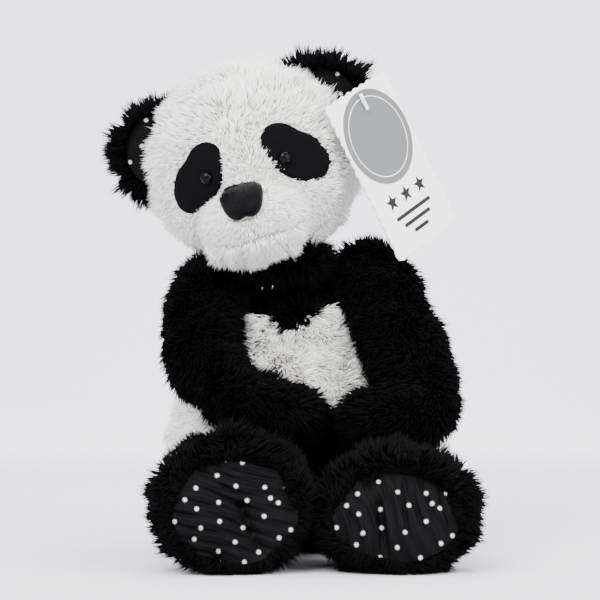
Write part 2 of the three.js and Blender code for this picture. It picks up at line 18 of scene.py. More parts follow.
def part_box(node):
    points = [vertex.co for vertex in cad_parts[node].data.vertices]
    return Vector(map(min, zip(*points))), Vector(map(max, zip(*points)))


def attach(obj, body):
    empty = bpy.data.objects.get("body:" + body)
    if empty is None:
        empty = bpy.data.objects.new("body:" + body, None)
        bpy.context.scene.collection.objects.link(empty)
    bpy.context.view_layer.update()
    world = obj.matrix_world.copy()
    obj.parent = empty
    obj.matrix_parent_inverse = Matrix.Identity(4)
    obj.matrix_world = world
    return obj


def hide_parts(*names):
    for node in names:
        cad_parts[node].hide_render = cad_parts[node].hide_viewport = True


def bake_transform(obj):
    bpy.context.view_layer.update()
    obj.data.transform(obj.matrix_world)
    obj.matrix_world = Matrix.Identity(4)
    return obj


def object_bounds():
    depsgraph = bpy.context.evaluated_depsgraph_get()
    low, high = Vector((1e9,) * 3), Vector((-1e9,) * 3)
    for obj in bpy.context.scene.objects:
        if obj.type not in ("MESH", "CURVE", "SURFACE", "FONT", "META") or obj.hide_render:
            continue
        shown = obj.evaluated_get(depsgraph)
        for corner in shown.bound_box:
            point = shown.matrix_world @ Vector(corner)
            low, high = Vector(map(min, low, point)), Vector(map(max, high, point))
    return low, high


bl_info = {
    "name": "Plush panda",
    "version": (1, 0, 0),
    "blender": (4, 5, 0),
    "location": "View3D > Sidebar > Plush panda",
    "description": "Stuffs, covers and trims a seated plush panda around its packed frame",
    "category": "Add Mesh",
}

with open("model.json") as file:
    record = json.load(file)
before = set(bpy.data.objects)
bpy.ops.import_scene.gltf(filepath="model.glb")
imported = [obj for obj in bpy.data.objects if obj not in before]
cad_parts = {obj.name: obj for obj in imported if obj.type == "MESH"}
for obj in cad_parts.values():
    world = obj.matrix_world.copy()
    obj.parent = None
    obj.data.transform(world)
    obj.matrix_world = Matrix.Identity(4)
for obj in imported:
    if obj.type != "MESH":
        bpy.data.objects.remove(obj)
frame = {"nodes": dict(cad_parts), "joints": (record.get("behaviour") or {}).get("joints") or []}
CAD_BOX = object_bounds()
JOINTS = {joint["name"]: joint for joint in frame["joints"]}
SIDES = {"left": -1, "right": 1}
MM = 0.001
SEED = 20

# ---------- the head's own frame ----------
HEAD_ABOVE_NECK = 60.2 * MM
HEAD_RADII = np.array((56.0, 53.5, 55.0)) * MM
EAR_PIVOT_ABOVE_CENTRE = 8.5 * MM


def axes(origin, x, y, z):
    """The place with this origin and these three axes."""
    return Matrix.Translation(origin) @ Matrix((x, y, z)).transposed().to_4x4()


def head_frame():
    """The head's centre and turn: across is the nodding axis, and up leans with the head."""
    nod = JOINTS["head_nod"]
    across = Vector(nod["axis"]).normalized()
    up = Vector((-across.z, 0, across.x)).normalized()
    back = up.cross(across)
    return axes(Vector(nod["pos_m"]) + up * HEAD_ABOVE_NECK, across, back, up)


HEAD = head_frame()
HEAD_INVERSE = HEAD.inverted()


def node_centre(node):
    low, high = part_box(node)
    return (low + high) / 2


# ---------- colours and shader nodes ----------
def linear(code):
    """An sRGB hex colour as linear RGBA."""
    parts = [int(code[i:i + 2], 16) / 255 for i in (1, 3, 5)]
    return tuple(c / 12.92 if c <= 0.04045 else ((c + 0.055) / 1.055) ** 2.4 for c in parts) + (1.0,)


def shade(tree, kind, settings=None, links=None):
    """Add one shader node, set its properties, and set or link its sockets."""
    made = tree.nodes.new(kind)
    for name, value in (settings or {}).items():
        setattr(made, name, value)
    for name, value in (links or {}).items():
        if isinstance(value, bpy.types.NodeSocket):
            tree.links.new(value, made.inputs[name])
        else:
            made.inputs[name].default_value = value
    return made


def new_finish(name, constants):
    """A material whose shader's constant sockets are set, with its node tree and shader."""
    finish = bpy.data.materials.new(name)
    finish.use_nodes = True
    tree = finish.node_tree
    shader = tree.nodes["Principled BSDF"]
    for socket, value in constants.items():
        shader.inputs[socket].default_value = value
    return finish, tree, shader


MIX_FACTOR, MIX_A, MIX_B, MIX_RESULT = 0, 6, 7, 2


def mixed(tree, factor, low, high):
    links = {MIX_FACTOR: factor, MIX_A: low, MIX_B: high}
    return shade(tree, "ShaderNodeMix", {"data_type": "RGBA"}, links).outputs[MIX_RESULT]


def bumped(tree, shader, height, strength, distance):
    links = {"Height": height, "Strength": strength, "Distance": distance}
    bump = shade(tree, "ShaderNodeBump", None, links)
    tree.links.new(bump.outputs["Normal"], shader.inputs["Normal"])


def per_mm(size):
    """The texture scale that makes one repeat this many millimetres."""
    return 1 / (size * MM)


def bands_of(size):
    """The wave texture's scale for bands this many millimetres wide."""
    return math.pi / 10 / (size * MM)


def grain(tree, size, detail, roughness=0.5):
    """Noise on Object coordinates, with patches this many millimetres across."""
    coords = shade(tree, "ShaderNodeTexCoord")
    return shade(tree, "ShaderNodeTexNoise", None, {
        "Vector": coords.outputs["Object"], "Scale": per_mm(size), "Detail": detail,
        "Roughness": roughness,
    }).outputs["Fac"]


def worked_out(tree, operation, *values):
    """The result of one maths node."""
    made = shade(tree, "ShaderNodeMath", {"operation": operation}, dict(enumerate(values)))
    return made.outputs[0]


def coloured(tree, shader, factor, low, high):
    tree.links.new(mixed(tree, factor, low, high), shader.inputs["Base Color"])


def pile_finish(name, root, tip, shine, sheen):
    """Polyester pile: dull fibres, slightly shiny at the tips, with painted shade: darker down in the
    pile, paler at the tips.
    """
    finish, tree, shader = new_finish(name, {
        "Roughness": 0.85, "Specular IOR Level": shine,
        "Sheen Weight": sheen, "Sheen Roughness": 0.5,
    })
    along = shade(tree, "ShaderNodeAttribute", {"attribute_name": "pile"})
    parts = shade(tree, "ShaderNodeSeparateColor", None, {"Color": along.outputs["Color"]})
    # Painted shade: along each tuft the colour runs from the darker root colour to the paler tip colour.
    fibre = mixed(tree, parts.outputs["Red"], root, tip)
    # Broad patches of slightly different tone, as handled pile has, about 22 mm across.
    patches = grain(tree, 22, 2.0)
    tone = worked_out(tree, "MULTIPLY_ADD", parts.outputs["Green"], 0.24, 0.78)
    broad = worked_out(tree, "MULTIPLY_ADD", patches, 0.2, tone)
    value = shade(tree, "ShaderNodeHueSaturation", None, {"Color": fibre, "Value": broad})
    tree.links.new(value.outputs["Color"], shader.inputs["Base Color"])
    return finish


def backing_finish(name, base, shadow):
    """Knitted polyester backing under the pile: matt, with fine loops about 1.2 mm apart."""
    finish, tree, shader = new_finish(name, {"Roughness": 0.95, "Specular IOR Level": 0.05})
    coords = shade(tree, "ShaderNodeTexCoord")
    loops = shade(tree, "ShaderNodeTexVoronoi", None, {
        "Vector": coords.outputs["Object"], "Scale": per_mm(1.2),
    }).outputs["Distance"]
    coloured(tree, shader, loops, base, shadow)
    bumped(tree, shader, loops, 0.4, 0.4 * MM)
    return finish


def felt_finish():
    """Short-nap plush of the eye patches: black, soft, with a fine crushed nap under 1 mm."""
    finish, tree, shader = new_finish("short_nap_black", {
        "Roughness": 0.95, "Specular IOR Level": 0.05,
    })
    nap = grain(tree, 0.9, 3.0, 0.7)
    crush = grain(tree, 9, 2.0)
    mottled = mixed(tree, nap, linear("#030304"), linear("#0c0c0e"))
    coloured(tree, shader, crush, mottled, linear("#070708"))
    bumped(tree, shader, nap, 0.8, 0.6 * MM)
    return finish


STAR_SPACING = 11.3
STAR_RADIUS, STAR_RAY = 0.078, 0.05


def cotton_finish():
    """Printed black cotton: plain weave, off-white eight-rayed stars under 3 mm wide, 11 mm apart.

    The star's radius and the reach of its rays are shares of the spacing, which is in millimetres.
    """
    finish, tree, shader = new_finish("starred_cotton", {
        "Roughness": 0.66, "Specular IOR Level": 0.07,
    })
    flat = shade(tree, "ShaderNodeUVMap", {"uv_map": "cloth"}).outputs["UV"]
    # The weave is drawn at 0.9 mm, coarser than real poplin, so that it shows.
    weave = shade(tree, "ShaderNodeTexChecker", None, {
        "Vector": flat, "Scale": per_mm(0.45), "Color1": linear("#070708"),
        "Color2": linear("#030304"),
    })
    stars = shade(tree, "ShaderNodeTexVoronoi", {"voronoi_dimensions": "2D"}, {
        "Vector": flat, "Scale": per_mm(STAR_SPACING), "Randomness": 0.72,
    })
    here, middle = (
        shade(tree, "ShaderNodeVectorMath", {"operation": "SCALE"}, {
            "Vector": place, "Scale": per_mm(STAR_SPACING),
        }).outputs["Vector"] for place in (flat, stars.outputs["Position"])
    )
    offset = shade(tree, "ShaderNodeVectorMath", {"operation": "SUBTRACT"}, {0: here, 1: middle})
    parts = shade(tree, "ShaderNodeSeparateXYZ", None, {"Vector": offset.outputs["Vector"]})
    angle = worked_out(tree, "ARCTAN2", parts.outputs["Y"], parts.outputs["X"])
    wave = worked_out(tree, "COSINE", worked_out(tree, "MULTIPLY", angle, 8.0))
    reach = worked_out(tree, "MULTIPLY_ADD", wave, STAR_RAY, STAR_RADIUS)
    inside = worked_out(tree, "LESS_THAN", stars.outputs["Distance"], reach)
    coloured(tree, shader, inside, weave.outputs["Color"], linear("#e9e8e4"))
    bumped(tree, shader, weave.outputs["Fac"], 0.25, 0.12 * MM)
    return finish


def satin_finish():
    """Satin nose: black rayon ribs laid upright 1 mm apart, with a soft streaky shine, painted in part as
    lighter bands along the ribs.
    """
    finish, tree, shader = new_finish("nose_satin_stitch", {
        "Roughness": 0.42, "Specular IOR Level": 0.05,
    })
    flat = shade(tree, "ShaderNodeUVMap", {"uv_map": "cloth"})
    ribs_and_painted_sheen = shade(tree, "ShaderNodeTexWave", {"bands_direction": "X"}, {
        "Vector": flat.outputs["UV"], "Scale": bands_of(1.0),
        "Distortion": 1.6, "Detail": 2.0, "Detail Scale": 1.4,
    }).outputs["Fac"]
    # Painted sheen: the ribs' bands are drawn lighter in the colour, and the same bands give the bump.
    coloured(tree, shader, ribs_and_painted_sheen, linear("#010102"), linear("#050506"))
    bumped(tree, shader, ribs_and_painted_sheen, 0.55, 0.35 * MM)
    return finish


def plastic_finish(name, base, speck, roughness, shine):
    """Moulded plastic: smooth, with a very faint cloudiness about 3 mm across."""
    finish, tree, shader = new_finish(name, {
        "Roughness": roughness, "IOR": 1.49, "Specular IOR Level": shine,
    })
    coloured(tree, shader, grain(tree, 3, 1.0), base, speck)
    return finish


def card_finish(name, base, fibre, roughness):
    """Uncoated card: matt, with paper fibres under 1 mm."""
    finish, tree, shader = new_finish(name, {"Roughness": roughness, "Specular IOR Level": 0.35})
    pulp = grain(tree, 0.8, 4.0, 0.65)
    coloured(tree, shader, pulp, base, fibre)
    bumped(tree, shader, pulp, 0.12, 0.1 * MM)
    return finish


def wall_finish(colour):
    """Seamless studio paper: pale, matt, with a barely visible grain."""
    finish, tree, shader = new_finish("studio_paper", {"Roughness": 0.9, "Specular IOR Level": 0.2})
    darker = tuple(0.985 * c for c in colour[:3]) + (1.0,)
    coloured(tree, shader, grain(tree, 2, 2.0), colour, darker)
    return finish


# ---------- meshes ----------
def gathered(vectors, field):
    """One vector of every vertex, as rows."""
    found = np.empty(len(vectors) * 3, np.float32)
    vectors.foreach_get(field, found)
    return found.reshape(-1, 3).astype(float)


def coordinates(piece):
    return gathered(piece.data.vertices, "co")


def vertex_normals(piece):
    return gathered(piece.data.vertex_normals, "vector")


def set_coordinates(piece, points):
    piece.data.vertices.foreach_set("co", np.asarray(points, np.float32).ravel())
    piece.data.update()


def only(kind, items):
    """The vertices, or the edges, among the elements that an operator gives back."""
    return [item for item in items if isinstance(item, kind)]


def smooth_shaded(mesh):
    mesh.polygons.foreach_set("use_smooth", [True] * len(mesh.polygons))


def in_scene(name, data):
    item = bpy.data.objects.new(name, data)
    bpy.context.scene.collection.objects.link(item)
    return item


def added(name, mesh, finish):
    """An object of this mesh in the scene, smooth shaded, in its finish."""
    smooth_shaded(mesh)
    mesh.materials.append(finish)
    piece = in_scene(name, mesh)
    return piece


def finished(name, shape, finish):
    """A piece made from a bmesh, in one of the named finishes."""
    mesh = bpy.data.meshes.new(name)
    shape.to_mesh(mesh)
    shape.free()
    return added(name, mesh, finishes()[finish])


def padding(piece, body, fill, *nodes):
    """Fix a padded piece to its body, in the place of the solids that it stands for."""
    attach(piece, body)
    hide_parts(*nodes)


def applied(piece, kind, settings):
    """Apply one modifier to the piece's mesh."""
    modifier = piece.modifiers.new(kind.lower(), kind)
    for name, value in settings.items():
        setattr(modifier, name, value)
    depsgraph = bpy.context.evaluated_depsgraph_get()
    made = bpy.data.meshes.new_from_object(piece.evaluated_get(depsgraph))
    piece.modifiers.remove(modifier)
    old = piece.data
    made.name = old.name
    piece.data = made
    bpy.data.meshes.remove(old)
    smooth_shaded(made)


def relaxed(piece, times):
    shape = bmesh.new()
    shape.from_mesh(piece.data)
    for _ in range(times):
        bmesh.ops.smooth_vert(
            shape, verts=shape.verts, factor=0.5, use_axis_x=True, use_axis_y=True, use_axis_z=True,
        )
    shape.to_mesh(piece.data)
    shape.free()
    piece.data.update()


WELD = 0.01 * MM


def even_cloth(name, node, voxel, finish):
    """A copy of a CAD node as one closed skin of even faces."""
    shape = bmesh.new()
    shape.from_mesh(frame["nodes"][node].data)
    bmesh.ops.remove_doubles(shape, verts=shape.verts, dist=WELD)
    piece = finished(name, shape, finish)
    applied(piece, "REMESH", {"mode": "VOXEL", "voxel_size": voxel})
    return piece


def let_out(piece, distance):
    set_coordinates(piece, coordinates(piece) + vertex_normals(piece) * distance)


def fuller(piece, centre, amount, width):
    """Pack the piece out round one place, along its own normals. All three are in millimetres."""
    points = coordinates(piece)
    near = bump_at(points, np.array(centre) * MM, width * MM)[:, None]
    set_coordinates(piece, points + vertex_normals(piece) * near * amount * MM)


FLOOR_REST = 1.2 * MM


def on_the_floor(piece):
    """Press the underside flat, just above the floor."""
    points = coordinates(piece)
    points[:, 2] = np.maximum(points[:, 2], FLOOR_REST)
    set_coordinates(piece, points)


STUFFING_PRESSURE = 4.0
STUFFING_STEPS = 20
MOST_STRETCH = 2.6 * MM


def stuffed(piece, slack):
    """Blow the cloth up as stuffing does. No point moves further than the most stretch."""
    start = coordinates(piece)
    scene = bpy.context.scene
    cloth = piece.modifiers.new("stuffing", "CLOTH")
    cloth.settings.quality = 4
    cloth.settings.use_pressure = True
    cloth.settings.uniform_pressure_force = STUFFING_PRESSURE
    cloth.settings.shrink_min = -slack
    cloth.settings.effector_weights.gravity = 0
    cloth.point_cache.frame_start = 1
    cloth.point_cache.frame_end = STUFFING_STEPS
    for step in range(1, STUFFING_STEPS + 1):
        scene.frame_set(step)
    depsgraph = bpy.context.evaluated_depsgraph_get()
    end = gathered(piece.evaluated_get(depsgraph).to_mesh().vertices, "co")
    piece.evaluated_get(depsgraph).to_mesh_clear()
    piece.modifiers.remove(cloth)
    scene.frame_set(1)
    move = end - start
    far = np.linalg.norm(move, axis=1, keepdims=True)
    set_coordinates(piece, start + move * np.minimum(1, MOST_STRETCH / np.maximum(far, 1e-9)))


def ball(subdivisions):
    shape = bmesh.new()
    bmesh.ops.create_icosphere(shape, subdivisions=subdivisions, radius=1.0)
    return shape


def disc_sheet(segments):
    """A flat round sheet of even faces, radius 1, with its corners drawn in to the circle."""
    shape = bmesh.new()
    bmesh.ops.create_grid(shape, x_segments=segments, y_segments=segments, size=1.0)
    for vert in shape.verts:
        x, y, _ = vert.co
        vert.co = (x * math.sqrt(1 - y * y / 2), y * math.sqrt(1 - x * x / 2), 0)
    return shape


def flat_uv(shape, scale_x, scale_y):
    """Lay the flat sheet's own place on the cloth, in metres, in a UV map."""
    layer = shape.loops.layers.uv.new("cloth")
    for face in shape.faces:
        for loop in face.loops:
            loop[layer].uv = (loop.vert.co.x * scale_x, loop.vert.co.y * scale_y)


def spun(shape, steps):
    """Turn an outline once round the upright axis."""
    bmesh.ops.spin(
        shape, geom=shape.verts[:] + shape.edges[:], cent=(0, 0, 0), axis=(0, 0, 1),
        dvec=(0, 0, 0), angle=2 * math.pi, steps=steps, use_merge=True,
    )
    bmesh.ops.remove_doubles(shape, verts=shape.verts, dist=WELD)


def placed(shape, place):
    """Move a shape to its place, with its faces turned outwards."""
    bmesh.ops.transform(shape, matrix=place, verts=shape.verts)
    bmesh.ops.recalc_face_normals(shape, faces=shape.faces)


def raised_edge(shape, edges, move):
    """Extrude edges and move the new ones. Gives back what was made."""
    made = bmesh.ops.extrude_edge_only(shape, edges=edges)["geom"]
    bmesh.ops.translate(shape, verts=only(bmesh.types.BMVert, made), vec=move)
    return made


def closed_under(shape, sink):
    """Turn a sheet's edge under and close its back, so that it is a pad."""
    made = raised_edge(shape, [edge for edge in shape.edges if edge.is_boundary], sink)
    edges = [edge for edge in only(bmesh.types.BMEdge, made) if edge.is_boundary]
    bmesh.ops.holes_fill(shape, edges=edges, sides=0)
    bmesh.ops.recalc_face_normals(shape, faces=shape.faces)


# ---------- pile ----------
TUFTS_IN_A_PIECE = 19500  # ten triangles each, so a piece stays under 200,000
TUFT_BELLY = 1.55  # how much wider a tuft is halfway up than a plain spike would be


def tuft_template():
    """One lock of pile: a three-sided spike, ring at the middle, root capped."""
    shape = bmesh.new()
    bmesh.ops.create_cone(shape, cap_ends=True, segments=3, radius1=1, radius2=0, depth=1)
    bmesh.ops.translate(shape, verts=shape.verts, vec=(0, 0, 0.5))
    everything = shape.verts[:] + shape.edges[:] + shape.faces[:]
    bmesh.ops.bisect_plane(shape, geom=everything, plane_co=(0, 0, 0.5), plane_no=(0, 0, 1))
    shape.verts.index_update()
    points = np.array([vert.co[:] for vert in shape.verts])
    faces = [[vert.index for vert in face.verts] for face in shape.faces]
    shape.free()
    middle = np.abs(points[:, 2] - 0.5) < 0.01
    points[middle, :2] *= TUFT_BELLY
    return points, faces


TUFT_POINTS, TUFT_FACES = tuft_template()


def unit(vectors):
    return vectors / np.maximum(np.linalg.norm(vectors, axis=1, keepdims=True), 1e-12)


def swirl(points, wavelength, seed):
    """A smooth field of directions that turns over about one wavelength."""
    rng = np.random.default_rng(seed)
    total = np.zeros_like(points)
    for _ in range(6):
        waves = rng.normal(size=(3, 3)) * (2 * math.pi / wavelength / 1.7)
        total += np.sin(points @ waves + rng.uniform(0, 2 * math.pi, 3))
    return total / 2.4


def skin_samples(skin, density, rng, weight):
    """Points spread over a skin, with their normals: density tufts to a square metre."""
    mesh = skin.data
    mesh.calc_loop_triangles()
    corners = np.empty(len(mesh.loop_triangles) * 3, np.int32)
    mesh.loop_triangles.foreach_get("vertices", corners)
    corners = corners.reshape(-1, 3)
    points, normals = coordinates(skin), vertex_normals(skin)
    a, b, c = points[corners[:, 0]], points[corners[:, 1]], points[corners[:, 2]]
    share = np.linalg.norm(np.cross(b - a, c - a), axis=1) / 2
    share = share * weight((a + b + c) / 3, unit(np.cross(b - a, c - a)))
    count = int(share.sum() * density)
    chosen = rng.choice(len(share), count, p=share / share.sum())
    u, v = rng.random((2, count, 1))
    over = (u + v) > 1
    u, v = np.where(over, 1 - u, u), np.where(over, 1 - v, v)
    shares = (1 - u - v, u, v)

    def between(values):
        return sum(values[corners[chosen, i]] * share for i, share in enumerate(shares))
    return between(points), unit(between(normals))


class Covered:
    """The skins made so far, for leaving out the tufts that would stand inside another one."""

    def __init__(self):
        self.trees = {}

    def add(self, piece):
        shape = bmesh.new()
        shape.from_mesh(piece.data)
        bmesh.ops.triangulate(shape, faces=shape.faces)
        points = coordinates(piece)
        self.trees[piece.name] = (BVHTree.FromBMesh(shape), points.min(0), points.max(0))
        shape.free()

    def open_air(self, points, own):
        """True for the points outside every skin but the tufts' own ones."""
        free = np.ones(len(points), bool)
        for name, (tree, low, high) in self.trees.items():
            if name in own:
                continue
            near = np.nonzero(free & ((points > low) & (points < high)).all(1))[0]
            for i in near:
                place, normal, _, _ = tree.find_nearest(points[i])
                free[i] = (Vector(points[i]) - place).dot(normal) >= 0
        return free


COVERED = Covered()
FLOOR_CLEAR = 0.4 * MM
TWIST_SIZE, TWIST_SEED = 0.003, 7
OFF_EVERY_AXIS = np.array((0.31, 0.17, 0.93))


def tuft_mesh(name, roots, bends, tips, radius, finish, tints):
    """All tufts of one piece: the template repeated along each tuft's own bent line."""
    count = len(roots)
    size = len(TUFT_POINTS)
    h = TUFT_POINTS[:, 2][None, :, None]
    line = (1 - h) ** 2 * roots[:, None] + 2 * h * (1 - h) * bends[:, None] + h ** 2 * tips[:, None]
    along = unit(tips - roots)
    side = unit(np.cross(along, swirl(roots, TWIST_SIZE, TWIST_SEED) + OFF_EVERY_AXIS))
    other = np.cross(along, side)
    ring = TUFT_POINTS[None, :, 0:1] * side[:, None] + TUFT_POINTS[None, :, 1:2] * other[:, None]
    verts = line + ring * radius[:, None, None]
    verts[..., 2] = np.maximum(verts[..., 2], FLOOR_CLEAR)
    mesh = bpy.data.meshes.new(name)
    mesh.vertices.add(count * size)
    mesh.vertices.foreach_set("co", verts.astype(np.float32).ravel())
    face_sizes = np.array([len(face) for face in TUFT_FACES])
    loops = np.concatenate([np.array(face) for face in TUFT_FACES])
    starts = np.concatenate(([0], np.cumsum(face_sizes)[:-1]))
    offsets = np.arange(count)[:, None]
    mesh.loops.add(count * len(loops))
    mesh.loops.foreach_set("vertex_index", (loops[None] + offsets * size).astype(np.int32).ravel())
    mesh.polygons.add(count * len(face_sizes))
    mesh.polygons.foreach_set("loop_start", (starts[None] + offsets * len(loops)).astype(np.int32).ravel())
    mesh.update(calc_edges=True)
    # Red is the place from root to tip, which the pile finish paints as shade, darker towards the root.
    # Green is each tuft's own tint.
    colours = np.ones((count, size, 4), np.float32)
    colours[..., 0] = TUFT_POINTS[:, 2][None]
    colours[..., 1] = tints[:, None]
    colours[..., 2] = 0
    layer = mesh.color_attributes.new("pile", "FLOAT_COLOR", "POINT")
    layer.data.foreach_set("color", colours.ravel())
    return added(name, mesh, finish)


OPEN_AIR_REACH = 2.5 * MM
ROOT_DEPTH = 0.5 * MM
SHORTEST, LONGEST = 0.72, 1.22
LENGTH_PATCHES, LENGTH_CHANGE = 0.012, 0.22
LEAN_PATCHES, LEAN_CHANGE = 0.016, 0.18
FEWEST_CLUMPS = 8


def pile(name, skin, finish, style, flow, weight, own=(), seed=0, clear=None):
    """Cover a skin with tufts. Flow combs them, weight thins them, clumps draw their tips together."""
    rng = np.random.default_rng(SEED + seed)
    roots, normals = skin_samples(skin, style["density"] * 1e6, rng, weight)
    free = COVERED.open_air(roots + normals * OPEN_AIR_REACH, {skin.name, *own})
    roots, normals = roots[free][:TUFTS_IN_A_PIECE], normals[free][:TUFTS_IN_A_PIECE]
    count = len(roots)
    comb = flow(roots, normals) + swirl(roots, style["swirl_mm"] * MM, seed) * style["swirl"]
    comb = unit(comb - normals * np.sum(comb * normals, axis=1, keepdims=True))
    stray = rng.normal(size=(count, 3)) * style["stray"]
    length = style["length_mm"] * MM * rng.uniform(SHORTEST, LONGEST, count)
    length *= 1 + LENGTH_CHANGE * swirl(roots, LENGTH_PATCHES, seed + 1)[:, 0]
    length *= style.get("longer", lambda points: 1.0)(roots)
    lean = style["lean"] + LEAN_CHANGE * swirl(roots, LEAN_PATCHES, seed + 2)[:, 1:2]
    lean = np.clip(lean, 0.05, 0.95)
    # A tuft stands up from its root, then bends over. The halves overlap a little at the bend.
    first = unit(normals * (1.15 - lean) + comb * lean * 0.6 + stray * 0.6)
    last = unit(normals * (1 - lean) + comb * lean * 1.3 + stray)
    sunk = roots - normals * ROOT_DEPTH
    bends = sunk + first * length[:, None] * 0.5
    tips = bends + last * length[:, None] * 0.55
    clumps = max(FEWEST_CLUMPS, count // style["in_clump"])
    tree = KDTree(clumps)
    for i in range(clumps):
        tree.insert(roots[i], i)
    tree.balance()
    nearest = np.array([tree.find(point)[1] for point in roots])
    draw = style["clump"] * rng.uniform(0.6, 1.1, (count, 1))
    tips += (tips[nearest] - tips) * draw * 0.8
    bends += (bends[nearest] - bends) * draw * 0.3
    radius = style["width_mm"] / 2 * MM * rng.uniform(0.7, 1.25, count)
    kept = slice(None) if clear is None else clear(tips)
    return tuft_mesh(
        name, sunk[kept], bends[kept], tips[kept], radius[kept], finish, rng.random(count)[kept],
    )


def seen_from(place, points):
    """World points as points in the frame of this place."""
    inverse = np.array(place.inverted())
    return points @ inverse[:3, :3].T + inverse[:3, 3]


def to_head(points):
    return seen_from(HEAD, points)


def from_head(vectors):
    return vectors @ np.array(HEAD)[:3, :3].T


# The room that the ear's tufts leave: over the card's face, round its middle, and past the CAD box.
CARD_MIDDLE, CARD_REACH = -42 * MM, (31 * MM, 50 * MM)
BEHIND_CARD = 2.5 * MM
PAST_THE_BOX = 13.5 * MM


def trimmed(tips):
    """True for the ear tufts that stay behind the hang tag's card and are not too long."""
    local = seen_from(tag_frame(), tips)
    over = np.abs(local[:, 0]) < CARD_REACH[0]
    over &= np.abs(local[:, 1] - CARD_MIDDLE) < CARD_REACH[1]
    short = tips[:, 0] > CAD_BOX[0].x - PAST_THE_BOX
    return short & ~(over & (local[:, 2] > -BEHIND_CARD))


def everywhere(points, normals):
    return np.ones(len(points))


def bump_at(points, centre, width):
    """1 at the centre, falling away smoothly over the width."""
    return np.exp(-np.sum((points - np.array(centre)) ** 2, axis=-1) / (2 * width ** 2))


# ---------- settings ----------
def metres(name, description, default):
    return FloatProperty(name=name, description=description, default=default, unit="LENGTH")


def angle(name, description, degrees):
    return FloatProperty(
        name=name, description=description, default=math.radians(degrees), subtype="ANGLE",
    )


def colour(name, description, code):
    return FloatVectorProperty(
        name=name, description=description, subtype="COLOR", size=4, default=linear(code),
    )


class PandaPile(bpy.types.PropertyGroup):
    density: FloatProperty(
        name="Pile density", description="Times the usual number of tufts", default=1.0, min=0.1, max=3,
    )
    # The darker root colours are painted shade down in the pile.
    white_root: colour("White root", "White pile at the backing", "#efece6")
    white_tip: colour("White tip", "White pile at the tips", "#fffefb")
    black_root: colour("Black root", "Black pile at the backing", "#010102")
    black_tip: colour("Black tip", "Black pile at the tips", "#050506")


class PandaHead(bpy.types.PropertyGroup):
    patch_length: metres("Patch length", "Eye patch, end to end", 42 * MM)
    patch_width: metres("Patch width", "Eye patch, across", 28 * MM)
    patch_droop: angle("Patch droop", "Slope of the patches, outer end down", 54)
    eye_radius: metres("Eye radius", "Radius of the eye domes", 3.7 * MM)
    ear_radius: metres("Ear radius", "Radius of the ears without the fringe", 24 * MM)
    lining_radius: metres("Lining radius", "Radius of the cotton ear linings", 21.5 * MM)


class PandaFeet(bpy.types.PropertyGroup):
    pleat_height: metres("Pleat height", "Height of the gathers in the soles", 1.5 * MM)
    pull_depth: metres("Pull depth", "Depth of the stitched pull in each sole", 5.5 * MM)
    dome: metres("Sole dome", "Rise of the soles at the middle", 6.5 * MM)


class PandaStage(bpy.types.PropertyGroup):
    distance: metres("Camera distance", "Camera to the middle of the toy", 1.4)
    elevation: angle("Camera elevation", "Camera above the horizon", 1)
    lens: FloatProperty(name="Lens", description="Focal length in millimetres", default=145)
    paper: colour("Paper", "Colour of the studio paper", "#dadadf")
    tag_stars: IntProperty(name="Tag stars", description="Stars printed on the tag", default=3)


def own_settings():
    scene = bpy.context.scene
    return scene.panda_pile, scene.panda_head, scene.panda_feet, scene.panda_stage


FINISHES = {}


def finishes():
    """All finishes, made once."""
    if not FINISHES:
        hair = own_settings()[0]
        FINISHES.update({
            "white_pile": pile_finish("white_pile", hair.white_root, hair.white_tip, 0.25, 0.2),
            "black_pile": pile_finish("black_pile", hair.black_root, hair.black_tip, 0.07, 0.0),
            "white_backing": backing_finish("white_backing", linear("#e6e2da"), linear("#c9c4ba")),
            "black_backing": backing_finish("black_backing", linear("#020203"), linear("#010101")),
            "felt": felt_finish(),
            "cotton": cotton_finish(),
            "satin": satin_finish(),
            "eye": plastic_finish("eye_gloss", linear("#010102"), linear("#030304"), 0.16, 0.1),
            "washer": plastic_finish("washer_plastic", linear("#ecebe7"), linear("#dfdeda"), 0.45, 0.5),
            "clear": plastic_finish("fastener_plastic", linear("#eef0f1"), linear("#dde0e2"), 0.25, 0.6),
            "card": card_finish("tag_card", linear("#fbfaf7"), linear("#efede8"), 0.7),
            "grey_ink": card_finish("grey_ink", linear("#6b6c6d"), linear("#636465"), 0.6),
            "black_ink": card_finish("black_ink", linear("#0d0d0e"), linear("#08080a"), 0.55),
        })
    return FINISHES


def refinished(node, finish):
    """Give a CAD node that stays in the model its own finish."""
    mesh = frame["nodes"][node].data
    mesh.materials.clear()
    mesh.materials.append(finishes()[finish])


# ---------- stage ----------
PAPER_WIDTH, PAPER_DEPTH, PAPER_RISE, PAPER_SWEEP = 6.0, 2.2, 4.0, 1.0
AIR_STRENGTH = 1.7
# Each lamp's name, place, size and power. The last one is turned to the paper behind the toy.
LAMPS = (
    ("key", (-0.7, -1.3, 1.5), 1.3, 80),
    ("fill", (1.3, -1.1, 0.8), 1.4, 42),
    ("top", (0.1, 0.5, 1.7), 1.2, 40),
    ("paper", (0.0, 0.9, 1.0), 1.6, 30),
)
PAPER_MIDDLE = Vector((0, 2.4, 0.4))
CAMERA_AIM = Vector((-9.5 * MM, 0, 143.5 * MM))


